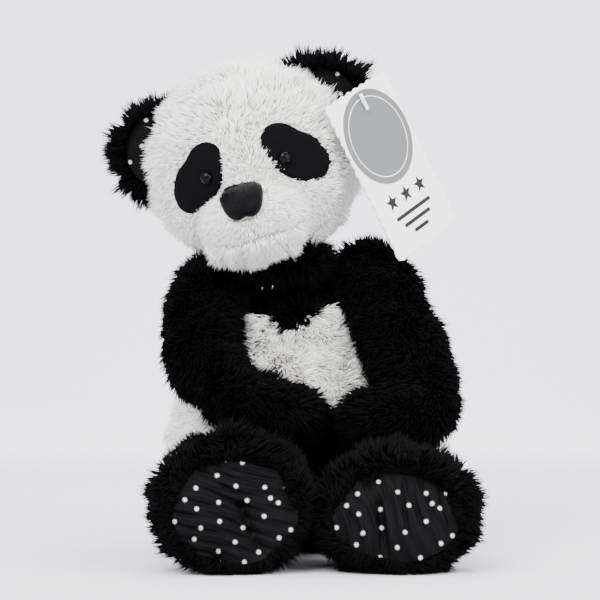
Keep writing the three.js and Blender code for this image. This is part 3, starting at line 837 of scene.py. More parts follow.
class PANDA_OT_stage(bpy.types.Operator):
    """Lay the studio paper, hang the soft lights and set the camera"""
    bl_idname = "panda.stage"
    bl_label = "Stage"

    def execute(self, context):
        look = context.scene.panda_stage
        self.lay_paper(look)
        self.hang_lamps(context)
        camera = bpy.data.cameras.new("camera")
        camera.lens = look.lens
        camera.sensor_width = 36
        eye = in_scene("camera", camera)
        away = Vector((0, -math.cos(look.elevation), math.sin(look.elevation)))
        eye.location = CAMERA_AIM + away * look.distance
        eye.rotation_euler = (math.pi / 2 - look.elevation, 0, 0)
        context.scene.camera = eye
        return {"FINISHED"}

    def lay_paper(self, look):
        """A sheet on the floor that sweeps up behind the toy."""
        shape = bmesh.new()
        bmesh.ops.create_grid(shape, x_segments=1, y_segments=1, size=1.0)
        bmesh.ops.scale(shape, verts=shape.verts, vec=(PAPER_WIDTH / 2, PAPER_DEPTH, 1))
        rear = [edge for edge in shape.edges if all(vert.co.y > 0 for vert in edge.verts)]
        raised_edge(shape, rear, (0, 0, PAPER_RISE))
        fold = [edge for edge in shape.edges if all(
            vert.co.y > 0 and vert.co.z < PAPER_RISE / 2 for vert in edge.verts
        )]
        bmesh.ops.bevel(
            shape, geom=fold, offset=PAPER_SWEEP, affect="EDGES", segments=24, profile=0.5,
            material=-1,
        )
        mesh = bpy.data.meshes.new("studio_paper")
        shape.to_mesh(mesh)
        shape.free()
        smooth_shaded(mesh)
        mesh.materials.append(wall_finish(tuple(look.paper)))
        in_scene("studio_paper", mesh)

    def hang_lamps(self, context):
        world = bpy.data.worlds.new("studio_air")
        context.scene.world = world
        world.use_nodes = True
        air = world.node_tree.nodes["Background"].inputs
        air["Color"].default_value = linear("#f4f6fb")
        air["Strength"].default_value = AIR_STRENGTH
        for name, place, size, power in LAMPS:
            data = bpy.data.lights.new(name, "AREA")
            data.size = size
            data.energy = power
            lamp = in_scene(name, data)
            lamp.location = place
            aim = (CAD_BOX[0] + CAD_BOX[1]) / 2 if name != "paper" else PAPER_MIDDLE
            lamp.rotation_euler = (aim - Vector(place)).to_track_quat("-Z", "Y").to_euler()


# ---------- head ----------
CHEEK_HEIGHT, CHEEK_SPREAD, CHEEK_FULLNESS = -20 * MM, 22 * MM, 0.035
SOCKET_WIDTH, SOCKET_DEPTH = 11 * MM, 1.8


def shaped_head(local):
    """Fullness of the cheeks and shallow sockets behind the patches, in the head's frame."""
    low = np.exp(-((local[:, 2] - CHEEK_HEIGHT) / CHEEK_SPREAD) ** 2)
    local[:, 0] *= 1 + CHEEK_FULLNESS * low
    for side in SIDES:
        centre = np.array(HEAD_INVERSE @ node_centre(f"eye_patch_{side}"))
        hollow = bump_at(local, centre, SOCKET_WIDTH)[:, None]
        local += hollow * unit(-local) * SOCKET_DEPTH * MM
    return local


class PANDA_OT_head(bpy.types.Operator):
    """Stuff the head"""
    bl_idname = "panda.head"
    bl_label = "Head"

    def execute(self, context):
        shape = ball(6)
        local = np.array([vert.co[:] for vert in shape.verts]) * HEAD_RADII
        for vert, place in zip(shape.verts, shaped_head(local)):
            vert.co = HEAD @ Vector(place)
        head = finished("head_plush", shape, "white_backing")
        padding(head, "head", 0.85, "head_gusset", "head_side_left", "head_side_right", "head_filling")
        COVERED.add(head)
        return {"FINISHED"}


MUZZLE_DEPTH = 26 * MM
PILE_ROOM = 1.0 * MM
SEAM_WIDTH, SEAM_DEPTH = 2.2 * MM, 1.6
LIP_WIDTH, LIP_DEPTH = 2.4 * MM, 1.3


@functools.cache
def muzzle_box():
    """The muzzle in the head's frame: its centre, half sizes, mouth height and front."""
    points = {node: np.array([
        HEAD_INVERSE @ vert.co for vert in frame["nodes"][node].data.vertices
    ]) for node in ("muzzle_left", "muzzle_right", "chin")}
    every = np.concatenate(list(points.values()))
    low, high = every.min(0), every.max(0)
    return (low + high) / 2, (high - low) / 2, points["chin"][:, 2].max(), low[1]


class PANDA_OT_muzzle(bpy.types.Operator):
    """Stuff the two muzzle panels and the chin, with the seams drawn in"""
    bl_idname = "panda.muzzle"
    bl_label = "Muzzle and chin"

    def execute(self, context):
        centre, half, mouth, front = muzzle_box()
        middle = Vector((centre[0], front + MUZZLE_DEPTH, centre[2]))
        radii = np.array((half[0], MUZZLE_DEPTH, half[2])) - PILE_ROOM

        def on_ball(vert):
            return Vector([c * r for c, r in zip(vert.co, radii)]) + middle

        parts = {
            "muzzle_plush_left": ((-1, 0, 0), (0, 0, 1), "muzzle_left"),
            "muzzle_plush_right": ((1, 0, 0), (0, 0, 1), "muzzle_right"),
            "chin_plush": (None, (0, 0, -1), "chin"),
        }
        for name, (across, upright, node) in parts.items():
            shape = ball(6)
            for vert in shape.verts:
                place = on_ball(vert)
                seam = math.exp(-((place.x - middle.x) / SEAM_WIDTH) ** 2) * (place.z > mouth)
                lip = math.exp(-((place.z - mouth) / LIP_WIDTH) ** 2)
                drawn = Vector(vert.co).normalized() * (SEAM_DEPTH * seam + LIP_DEPTH * lip) * MM
                vert.co = place - drawn
            for normal, at in ((across, middle.x), (upright, mouth)):
                if normal:
                    self.cut(shape, normal, at)
            placed(shape, HEAD)
            piece = finished(name, shape, "white_backing")
            padding(piece, "head", 0.8, node)
        # The whole ball, left out of the model, is where no other pile may stand.
        whole = ball(4)
        for vert in whole.verts:
            vert.co = HEAD @ on_ball(vert)
        probe = finished("muzzle_probe", whole, "white_backing")
        COVERED.add(probe)
        bpy.data.objects.remove(probe)
        return {"FINISHED"}

    def cut(self, shape, normal, at):
        """Cut away what is behind an upright or a level plane, and close the cut."""
        point = (at, 0, 0) if normal[0] else (0, 0, at)
        cut = bmesh.ops.bisect_plane(
            shape, geom=shape.verts[:] + shape.edges[:] + shape.faces[:],
            plane_co=point, plane_no=normal, clear_inner=True,
        )["geom_cut"]
        bmesh.ops.holes_fill(shape, edges=only(bmesh.types.BMEdge, cut), sides=0)


NOSE_SUNK = 2.2 * MM
NOSE_HALF = (14.2 * MM, 10.6 * MM)
NOSE_RISE = 5.2


def on_muzzle(x, z, rise):
    """The point of the muzzle's front at this side and height, in the head's frame."""
    centre, half, _, front = muzzle_box()
    deep = 1 - ((x - centre[0]) / half[0]) ** 2 - ((z - centre[2]) / half[2]) ** 2
    y = front + MUZZLE_DEPTH * (1 - math.sqrt(max(0.12, deep)))
    return Vector((x, y - NOSE_SUNK - rise, z))


class PANDA_OT_nose(bpy.types.Operator):
    """Dome the satin nose and lay its ribs upright"""
    bl_idname = "panda.nose"
    bl_label = "Nose"

    def execute(self, context):
        middle = HEAD_INVERSE @ node_centre("nose")
        shape = disc_sheet(64)
        half_x, half_z = NOSE_HALF
        flat_uv(shape, half_x, half_z)
        for vert in shape.verts:
            angle = math.atan2(vert.co.y, vert.co.x)
            reach = min(1.0, Vector(vert.co.xy).length)
            square = (abs(math.cos(angle)) ** 3 + abs(math.sin(angle)) ** 3) ** (-1 / 3) * reach
            u, v = square * math.cos(angle), square * math.sin(angle)
            x = half_x * u * (0.84 + 0.16 * v)
            arch = -1.7 * MM * u * u * max(0.0, v)
            notch = 1.2 * MM * math.exp(-(x / (2.4 * MM)) ** 2) * reach ** 4 * (v < 0)
            z = half_z * v + arch + notch
            rise = NOSE_RISE * math.sqrt(max(0.0, 1 - reach ** 2.6)) * MM
            vert.co = on_muzzle(middle.x + x, middle.z + z, rise)
        bmesh.ops.transform(shape, matrix=HEAD, verts=shape.verts)
        closed_under(shape, HEAD.to_3x3() @ Vector((0, 7 * MM, 0)))
        nose = finished("nose_satin", shape, "satin")
        padding(nose, "head", 0.95, "nose")
        return {"FINISHED"}


def head_surface(x, z, lift):
    """The point of the stuffed head's front at this height and side, in the head's frame."""
    rx, ry, rz = HEAD_RADII + lift
    depth = math.sqrt(max(0.0, 1 - (x / rx) ** 2 - (z / rz) ** 2))
    point = shaped_head(np.array([[x, -ry * depth, z]]))[0]
    return Vector(point)


PATCH_RISE, PATCH_STITCH = 3.4, 0.7
PATCH_UNDER = 1.6 * MM
EYE_RISE = 2.9 * MM
EYE_RIM = 0.7 * MM
EYE_SEAT = 3.3 * MM
SHANK_RADIUS, SHANK_END, EYE_BACK = 1.5 * MM, -13.0 * MM, -0.4 * MM


class PANDA_OT_eyes(bpy.types.Operator):
    """Sew the eye patches down and set the domed eyes in them"""
    bl_idname = "panda.eyes"
    bl_label = "Eyes and patches"

    def execute(self, context):
        look = context.scene.panda_head
        for side, sign in SIDES.items():
            self.patch(side, sign, look)
            self.dome(side, look.eye_radius)
        for side in SIDES:
            refinished(f"eye_washer_{side}", "washer")
        return {"FINISHED"}

    def patch(self, side, sign, look):
        """A bean with its outer side slightly hollow, the edge turned in and stitched."""
        centre = HEAD_INVERSE @ node_centre(f"eye_patch_{side}")
        shape = disc_sheet(56)
        down = math.sin(look.patch_droop)
        out = math.cos(look.patch_droop)
        for vert in shape.verts:
            angle = math.atan2(vert.co.y, vert.co.x)
            reach = vert.co.length
            a, b = look.patch_length / 2, look.patch_width / 2
            bean = 1 / math.hypot(math.cos(angle) / a, math.sin(angle) / b)
            bean *= 1 - 0.13 * math.exp(-((angle - 1.95) / 0.5) ** 2)
            bean *= 1 + 0.05 * math.cos(angle)
            along, outward = bean * reach * math.cos(angle), bean * reach * math.sin(angle)
            x = centre.x + sign * (out * along + down * outward)
            z = centre.z - down * along + out * outward
            edge = max(0.0, (reach - 0.86) / 0.14)
            stitch = math.exp(-((reach - 0.9) / 0.025) ** 2)
            rise = (PATCH_RISE * (1 - edge ** 3) - PATCH_STITCH * stitch) * MM
            vert.co = head_surface(x, z, rise)
        bmesh.ops.transform(shape, matrix=HEAD, verts=shape.verts)
        inward = Vector((-centre.x, -centre.y, 0)).normalized()
        closed_under(shape, HEAD.to_3x3() @ inward * PATCH_UNDER)
        patch = finished(f"patch_{side}", shape, "felt")
        padding(patch, "head", 0.3, f"eye_patch_{side}")

    def dome(self, side, radius):
        """A turned dome with a rolled edge, on its shank."""
        outline = [
            (0.0, SHANK_END), (SHANK_RADIUS, SHANK_END), (SHANK_RADIUS, EYE_BACK),
            (radius * 0.8, EYE_BACK), (radius, 0.2 * MM), (radius, EYE_RIM),
        ]
        steps = 10
        for i in range(1, steps + 1):
            turn = math.pi / 2 * i / steps
            across = radius * math.cos(turn) if i < steps else 0.0
            outline.append((across, EYE_RIM + EYE_RISE * math.sin(turn)))
        shape = bmesh.new()
        verts = [shape.verts.new((r, 0, h)) for r, h in outline]
        for pair in zip(verts, verts[1:]):
            shape.edges.new(pair)
        spun(shape, 40)
        middle = HEAD_INVERSE @ node_centre(f"eye_{side}")
        normal = Vector([c / r ** 2 for c, r in zip(middle, HEAD_RADII)]).normalized()
        seat = head_surface(middle.x * 1.06, middle.z * 1.06, EYE_SEAT)
        turn = normal.to_track_quat("Z", "Y").to_matrix().to_4x4()
        placed(shape, HEAD @ Matrix.Translation(seat) @ turn)
        eye = finished(f"eye_dome_{side}", shape, "eye")
        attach(eye, "head")
        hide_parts(f"eye_{side}")


def ear_frame(side):
    """Centre of the ear, its outward direction, and its front, in world axes."""
    pivot = Vector(JOINTS[f"ear_{side}_fold"]["pos_m"])
    outward = (pivot - HEAD.translation).normalized()
    centre = pivot - outward * EAR_PIVOT_ABOVE_CENTRE
    front = -(HEAD.to_3x3() @ Vector((0, 1, 0)))
    across = outward.cross(front).normalized()
    return axes(centre, across, outward, front)


EAR_HALF_THICKNESS = 4.6 * MM
EAR_DISH = 2.2 * MM
LINING_LIFT, LINING_DOME, LINING_UNDER = 3.6, 1.3, 1.4


class PANDA_OT_ears(bpy.types.Operator):
    """Stuff the ears lightly and line their fronts with starred cotton"""
    bl_idname = "panda.ears"
    bl_label = "Ears"

    def execute(self, context):
        look = context.scene.panda_head
        for side in SIDES:
            place = ear_frame(side)
            shape = ball(5)
            for vert in shape.verts:
                x, y, z = vert.co
                dish = EAR_DISH * (1 - x * x - y * y) * (z > 0)
                vert.co = (x * look.ear_radius, y * look.ear_radius, z * EAR_HALF_THICKNESS - dish)
            placed(shape, place)
            ear = finished(f"ear_back_{side}", shape, "black_backing")
            padding(ear, f"ear_{side}", 0.35, f"ear_plush_{side}")
            COVERED.add(ear)
            self.lining(side, place, look.lining_radius)
        return {"FINISHED"}

    def lining(self, side, place, radius):
        """A creased cotton disc, sewn down all round."""
        sheet = disc_sheet(48)
        flat_uv(sheet, radius, radius)
        for vert in sheet.verts:
            x, y, _ = vert.co
            far = min(1.0, vert.co.length)
            crease = 0.5 * math.sin(14 * x + 3 * y) * far * (1 - far) * 2.2
            fold = 1.4 * math.exp(-((x - 0.15 * y) / 0.16) ** 2) * (y < 0.5) * (1 - far)
            lift = LINING_LIFT + LINING_DOME * (1 - far * far) + crease - fold
            vert.co = (x * radius, y * radius, lift * MM)
        bmesh.ops.transform(sheet, matrix=place, verts=sheet.verts)
        closed_under(sheet, -(place.to_3x3() @ Vector((0, 0, 1))) * LINING_UNDER * MM)
        lining = finished(f"ear_cotton_{side}", sheet, "cotton")
        padding(lining, f"ear_{side}", 0.15, f"ear_lining_{side}")


COLLAR_RIPPLES, RIPPLE_HEIGHT = 9, 0.4 * MM


class PANDA_OT_neck(bpy.types.Operator):
    """Make the neck's collar of plush and the stuffing that it goes round"""
    bl_idname = "panda.neck"
    bl_label = "Neck"

    def execute(self, context):
        low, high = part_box("neck_collar")
        centre = (low + high) / 2
        thick = (high.z - low.z) / 2
        ring = (high.x - low.x) / 2 - thick
        shape = bmesh.new()
        bmesh.ops.create_circle(shape, segments=20, radius=thick)
        bmesh.ops.rotate(
            shape, verts=shape.verts, cent=(0, 0, 0), matrix=Matrix.Rotation(math.pi / 2, 3, "X"),
        )
        bmesh.ops.translate(shape, verts=shape.verts, vec=(ring, 0, 0))
        spun(shape, 64)
        bmesh.ops.translate(shape, verts=shape.verts, vec=centre)
        bmesh.ops.recalc_face_normals(shape, faces=shape.faces)
        collar = finished("neck_plush", shape, "black_backing")
        for vert in collar.data.vertices:
            turn = math.atan2(vert.co.y - centre.y, vert.co.x - centre.x)
            vert.co.z += RIPPLE_HEIGHT * math.sin(COLLAR_RIPPLES * turn)
        padding(collar, "neck_collar", 0.7, "neck_collar")
        core = even_cloth("neck_stuffing", "neck_filling", 2.5 * MM, "white_backing")
        relaxed(core, 4)
        let_out(core, -2 * MM)
        padding(core, "neck_core", 0.8, "neck_filling")
        return {"FINISHED"}


# ---------- body and limbs ----------
HEART_TIP = 84 * MM
LAP_MIDDLE, LAP_HALF_WIDTH, LAP_HEIGHT = 3 * MM, 54 * MM, 28 * MM
CHEST_FRONT = -8 * MM
YOKE_BACK = 124 * MM
BODY_VOXEL, LIMB_VOXEL = 4.5 * MM, 4 * MM
BODY_SLACK, LIMB_SLACK = 0.02, 0.04


def on_lap(points):
    """The dark front between the legs, under the heart's tip."""
    across = (points[:, 0] - LAP_MIDDLE) / LAP_HALF_WIDTH
    height = (points[:, 2] - LAP_HEIGHT) / (HEART_TIP - LAP_HEIGHT)
    return (points[:, 1] < CHEST_FRONT) & (across ** 2 + height ** 2 < 1)


def yoke_edge(x):
    """Height of the black yoke's lower edge across the chest: two lobes with a notch between."""
    left = 135 * MM - 8 * MM * np.exp(-((x + 15 * MM) / (11 * MM)) ** 2)
    return left + 4 * MM * np.exp(-((x - 8 * MM) / (12 * MM)) ** 2)


class PANDA_OT_body(bpy.types.Operator):
    """Stuff the body and part its skin at the yoke"""
    bl_idname = "panda.body"
    bl_label = "Body"

    def execute(self, context):
        body = even_cloth("body_plush", "torso_filling", BODY_VOXEL, "white_backing")
        relaxed(body, 3)
        let_out(body, 1.2 * MM)
        stuffed(body, BODY_SLACK)
        relaxed(body, 2)
        on_the_floor(body)
        COVERED.add(body)
        body.data.materials.append(finishes()["black_backing"])
        for polygon in body.data.polygons:
            middle = polygon.center
            border = yoke_edge(middle.x) if middle.y < 0 else YOKE_BACK
            lap = on_lap(np.array(middle[:])[None])[0]
            polygon.material_index = int(middle.z > border or lap)
        padding(
            body, "torso", 0.75, "chest_yoke", "belly_panel", "back_panel_left", "back_panel_right",
            "seat_panel", "torso_filling", "pellet_bag",
        )
        return {"FINISHED"}


# Where the limbs are packed fuller: place, extra thickness and spread, in millimetres.
FULLNESS = {
    "arm_left": [((-88, -15, 135), 4, 20), ((-70, 0, 160), 3, 16), ((-75, -45, 90), 3, 20)],
    "arm_right": [
        ((25, 4, 166), 9, 15), ((46, -5, 155), 5, 16), ((68, -30, 110), 7, 20), ((70, -58, 80), 11, 20),
    ],
    "leg_left": [((-84, -95, 35), 5, 24), ((-5, -95, 35), 3, 20)],
    "leg_right": [((80, -95, 30), 6, 24), ((2, -95, 30), 5, 20), ((60, -90, 62), 3, 20)],
}


def sew_on(piece):
    """Bake the place of a limb's cloth or pile into its mesh."""
    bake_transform(piece)


def packed_limb(limb, side, room, last_smoothing):
    """A limb's skin, let out by the room, stuffed, and packed fuller at its places."""
    skin = even_cloth(
        f"{limb}_plush_{side}", f"{limb}_filling_{side}", LIMB_VOXEL, "black_backing",
    )
    relaxed(skin, 3)
    let_out(skin, room)
    stuffed(skin, LIMB_SLACK)
    for place, amount, width in FULLNESS[f"{limb}_{side}"]:
        fuller(skin, place, amount, width)
    relaxed(skin, last_smoothing)
    return skin


def joined_limb(skin, limb, side):
    COVERED.add(skin)
    sew_on(skin)
    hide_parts(f"{limb}_{side}", f"{limb}_filling_{side}")


class PANDA_OT_arms(bpy.types.Operator):
    """Stuff the arms"""
    bl_idname = "panda.arms"
    bl_label = "Arms"

    def execute(self, context):
        for side in SIDES:
            joined_limb(packed_limb("arm", side, 1.2 * MM, 2), "arm", side)
        return {"FINISHED"}


SOLE_ROOM = 3 * MM


def behind_sole(leg, side):
    """Keep the foot's stuffing behind its sole."""
    points = coordinates(leg)
    facing, middle = sole_facing(side), np.array(node_centre(f"sole_{side}"))
    out = points - middle
    reach = np.hypot(*(out[:, [0, 2]] / (np.array(SOLES[side]["half"]) * MM)).T)
    depth = out @ facing
    excess = np.where((reach < 1.0) & (depth > -SOLE_ROOM), depth + SOLE_ROOM, 0)
    set_coordinates(leg, points - facing * excess[:, None])


class PANDA_OT_legs(bpy.types.Operator):
    """Stuff the legs and feet"""
    bl_idname = "panda.legs"
    bl_label = "Legs"

    def execute(self, context):
        for side in SIDES:
            leg = packed_limb("leg", side, 2.4 * MM, 1)
            behind_sole(leg, side)
            on_the_floor(leg)
            joined_limb(leg, "leg", side)
        return {"FINISHED"}


# Each sole's backward tilt, half sizes in millimetres, the run of its gathers and the gap between
# them in millimetres, and the two ends of its stitched pull in millimetres from the middle.
SOLES = {
    "left": {"tilt": math.radians(8), "half": (35, 29), "pleat": math.radians(-14), "gap": 6.2,
             "pull": ((3, 3), (14, -22))},
    "right": {"tilt": math.radians(14), "half": (35, 25), "pleat": math.radians(-72), "gap": 7.4,
              "pull": ((-8, 6), (-7, -24))},
}


def sole_facing(side):
    tilt = SOLES[side]["tilt"]
    return np.array((0, -math.cos(tilt), math.sin(tilt)))


SOLE_THICKNESS = 5 * MM
PULL_WIDTH, PULL_WIDENS, PULL_LOBE = 2.6 * MM, 1.2 * MM, 9 * MM


class PANDA_OT_soles(bpy.types.Operator):
    """Gather the cotton soles, pull them in at the middle and pad them"""
    bl_idname = "panda.soles"
    bl_label = "Soles"

    def execute(self, context):
        look = context.scene.panda_feet
        for side, sole in SOLES.items():
            shape = disc_sheet(92)
            half_x, half_y = (size * MM for size in sole["half"])
            flat_uv(shape, half_x, half_y)
            for vert in shape.verts:
                far = min(1.0, Vector(vert.co.xy).length)
                flat = Vector((vert.co.x * half_x, vert.co.y * half_y))
                gather = self.gather(flat, sole)
                height = look.dome * (1 - far ** 2.6) + look.pleat_height * gather * (1 - far ** 6)
                height -= look.pull_depth * self.pull(flat, sole) * (1 - far ** 8)
                vert.co = (flat.x, flat.y, height)
            closed_under(shape, Vector((0, 0, -SOLE_THICKNESS)))
            facing = Vector(sole_facing(side))
            upward = Vector((0, facing.z, -facing.y))
            centre = node_centre(f"sole_{side}")
            placed(shape, axes(centre, Vector((1, 0, 0)), upward, facing))
            pad = finished(f"sole_cotton_{side}", shape, "cotton")
            padding(pad, f"leg_{side}", 0.6, f"sole_{side}")
        return {"FINISHED"}

    def gather(self, flat, sole):
        """The gathers here, about -1 to 1: warped ridges that fade in and out along their run."""
        ridge = Vector((math.cos(sole["pleat"]), math.sin(sole["pleat"])))
        across = ridge.x * flat.y - ridge.y * flat.x
        along = flat.dot(ridge)
        warp = 1.3 * math.sin(along / (9 * MM) + 1.7 * math.sin(across / (11 * MM)))
        phase = 2 * math.pi * across / (sole["gap"] * MM) + warp
        fade = 0.35 + 0.65 * math.sin(along / (12 * MM) + 2.3 * math.sin(across / (5 * MM))) ** 2
        return (math.sin(phase) + 0.4 * math.sin(2.1 * phase + along / (6 * MM))) * fade

    def pull(self, flat, sole):
        """The stitched pull here: a narrow groove in a shallow hollow."""
        top, foot = (Vector(point) * MM for point in sole["pull"])
        run = foot - top
        share = max(0.0, min(1.0, (flat - top).dot(run) / run.length_squared))
        away = (flat - top - run * share).length
        groove = math.exp(-(away / (PULL_WIDTH + PULL_WIDENS * share)) ** 1.4) * (1 - 0.35 * share)
        return groove + math.exp(-(away / PULL_LOBE) ** 2) * 0.28


# ---------- tag ----------
INK, FOIL = 0.06 * MM, 0.16 * MM
CARD_FACE = 0.62 * MM
DISC_HEIGHT, STARS_HEIGHT, BARS_HEIGHT = -21.5 * MM, -58 * MM, -68
STAR_GAP, BAR_GAP = 14, 5.5
BAR_WIDTHS = (34, 26, 14)


def tag_frame():
    """The tag's own frame: x across, y up the card, z out of its printed face, origin at the hole."""
    swing = JOINTS["tag_swing"]
    hole = Vector(swing["pos_m"])
    facing = Vector(swing["axis"]).normalized()
    corners = [vert.co for vert in frame["nodes"]["hang_tag"].data.vertices]
    middle = sum(corners, Vector()) / len(corners)
    down = middle - hole
    down = (down - facing * down.dot(facing)).normalized()
    return axes(hole, facing.cross(down), -down, facing)


class PANDA_OT_tag(bpy.types.Operator):
    """Print the card tag with a plain disc, plain stars and plain bars"""
    bl_idname = "panda.tag"
    bl_label = "Tag"

    def execute(self, context):
        refinished("hang_tag", "card")
        refinished("tag_fastener", "clear")
        disc = self.round(28 * MM, 96)
        self.printed("tag_disc", disc, (0, DISC_HEIGHT, CARD_FACE), FOIL, "grey_ink")
        ring = self.round(24 * MM, 96)
        bmesh.ops.inset_individual(ring, faces=ring.faces[:], thickness=0.5 * MM)
        inner = [item for item in ring.faces if len(item.verts) > 4]
        bmesh.ops.delete(ring, geom=inner, context="FACES")
        self.printed("tag_ring", ring, (0, DISC_HEIGHT, CARD_FACE + FOIL), INK, "card")
        count = context.scene.panda_stage.tag_stars
        for i in range(count):
            x = (i - (count - 1) / 2) * STAR_GAP * MM
            star = self.star(5.4 * MM)
            self.printed(f"tag_star_{i + 1}", star, (x, STARS_HEIGHT, CARD_FACE), INK, "black_ink")
        for i, width in enumerate(BAR_WIDTHS):
            spot = (0, (BARS_HEIGHT - BAR_GAP * i) * MM, CARD_FACE)
            self.printed(f"tag_bar_{i + 1}", self.bar(width), spot, INK, "black_ink")
        return {"FINISHED"}

    def round(self, radius, segments):
        shape = bmesh.new()
        bmesh.ops.create_circle(shape, cap_ends=True, segments=segments, radius=radius)
        return shape

    def star(self, radius):
        """A plain five-pointed star."""
        shape = self.round(radius, 10)
        for i, vert in enumerate(shape.verts):
            if i % 2:
                vert.co *= 0.42
        return shape

    def bar(self, width):
        """A plain bar with round ends."""
        shape = bmesh.new()
        bmesh.ops.create_grid(shape, x_segments=1, y_segments=1, size=1.0)
        bmesh.ops.scale(shape, verts=shape.verts, vec=(width / 2 * MM, 1.1 * MM, 1))
        bmesh.ops.bevel(
            shape, geom=shape.verts[:], offset=1.05 * MM, affect="VERTICES", segments=5,
            profile=0.5, material=-1,
        )
        return shape

    def printed(self, name, shape, spot, thickness, finish):
        """A layer of ink or card, its own thickness proud of the tag."""
        raised = bmesh.ops.extrude_face_region(shape, geom=shape.faces[:])["geom"]
        verts = only(bmesh.types.BMVert, raised)
        bmesh.ops.translate(shape, verts=verts, vec=(0, 0, thickness))
        bmesh.ops.translate(shape, verts=shape.verts, vec=spot)
        placed(shape, tag_frame())
        piece = finished(name, shape, finish)
        piece.data.polygons.foreach_set("use_smooth", [False] * len(piece.data.polygons))
        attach(piece, "tag")


# ---------- combing ----------
def down_flow(points, normals):
    return np.tile((0.0, -0.15, -1.0), (len(points), 1))


def head_flow(points, normals):
    """Away from the nose, and down with the weight of the pile."""
    away = unit(to_head(points) - np.array((0, -60 * MM, -22 * MM)))
    return from_head(away) + np.array((0, 0, -0.45))


def muzzle_flow(points, normals):
    away = unit(to_head(points) - np.array((-5.5 * MM, -66 * MM, -16 * MM)))
    return from_head(away + np.array((0, 0, -0.25)))


def limb_flow(tip):
    """Towards the end of the limb, with the pile falling a little."""
    return lambda points, normals: unit(np.array(tip) - points) + np.array((0, 0, -0.55))


def foot_flow(centre):
    """Forwards over the foot, and outwards round the sole."""
    def flow(points, normals):
        out = points - np.array(centre)
        out[:, 1] = 0
        near = np.clip((-50 * MM - points[:, 1]) / (40 * MM), 0, 1)[:, None]
        return np.array((0, -0.8, -0.25)) * (1.1 - near) + unit(out) * (0.25 + 0.4 * near)
    return flow


def outward_flow(centre, lift=0.0):
    return lambda points, normals: unit(points - np.array(centre)) + np.array((0, 0, lift))


# Density is in tufts to a square millimetre.
BODY_STYLE = {
    "density": 0.88, "length_mm": 9.0, "width_mm": 1.0, "lean": 0.5, "stray": 0.2,
    "swirl": 0.6, "swirl_mm": 30, "clump": 0.4, "in_clump": 20,
}
HEAD_STYLE = {**BODY_STYLE, "density": 1.22, "length_mm": 8.5, "width_mm": 0.88, "lean": 0.5,
              "swirl": 0.5, "clump": 0.3, "in_clump": 16}
MUZZLE_STYLE = {**BODY_STYLE, "density": 2.6, "length_mm": 4.4, "width_mm": 0.85, "lean": 0.55,
                "swirl": 0.3, "swirl_mm": 18, "clump": 0.2, "stray": 0.12}
CHIN_STYLE = {**MUZZLE_STYLE, "length_mm": 7.5, "clump": 0.5, "lean": 0.4, "stray": 0.25}
HEART_STYLE = {**BODY_STYLE, "density": 1.9, "length_mm": 9.5, "width_mm": 0.85, "lean": 0.45,
               "swirl": 0.9, "swirl_mm": 17, "clump": 0.35, "in_clump": 22}
BACK_STYLE = {**BODY_STYLE, "density": 0.68}
NECK_STYLE = {**BODY_STYLE, "density": 1.4, "length_mm": 12.5, "lean": 0.25, "stray": 0.3}
EAR_STYLE = {**BODY_STYLE, "density": 1.5, "length_mm": 8, "width_mm": 0.95, "lean": 0.6,
             "swirl": 0.3, "clump": 0.5, "in_clump": 12}
FRINGE_STYLE = {**EAR_STYLE, "density": 7.5, "length_mm": 13.0, "width_mm": 0.8, "lean": 0.15,
                "clump": 0.85, "in_clump": 16, "stray": 0.22}
SOLE_EDGE_STYLE = {**BODY_STYLE, "density": 2.4, "length_mm": 7.5, "lean": 0.45, "stray": 0.3}

CROWN_HEIGHT, THROAT_HEIGHT = 22 * MM, -50 * MM
FAR_OFF = 9.0
BARE_PATCH = (19.5 * MM, 12.2 * MM)
BARE_NOSE = (13.8 * MM, 10.2 * MM)
FACE_FRONT = -15 * MM
HEART_BOTTOM = HEART_TIP - 16 * MM


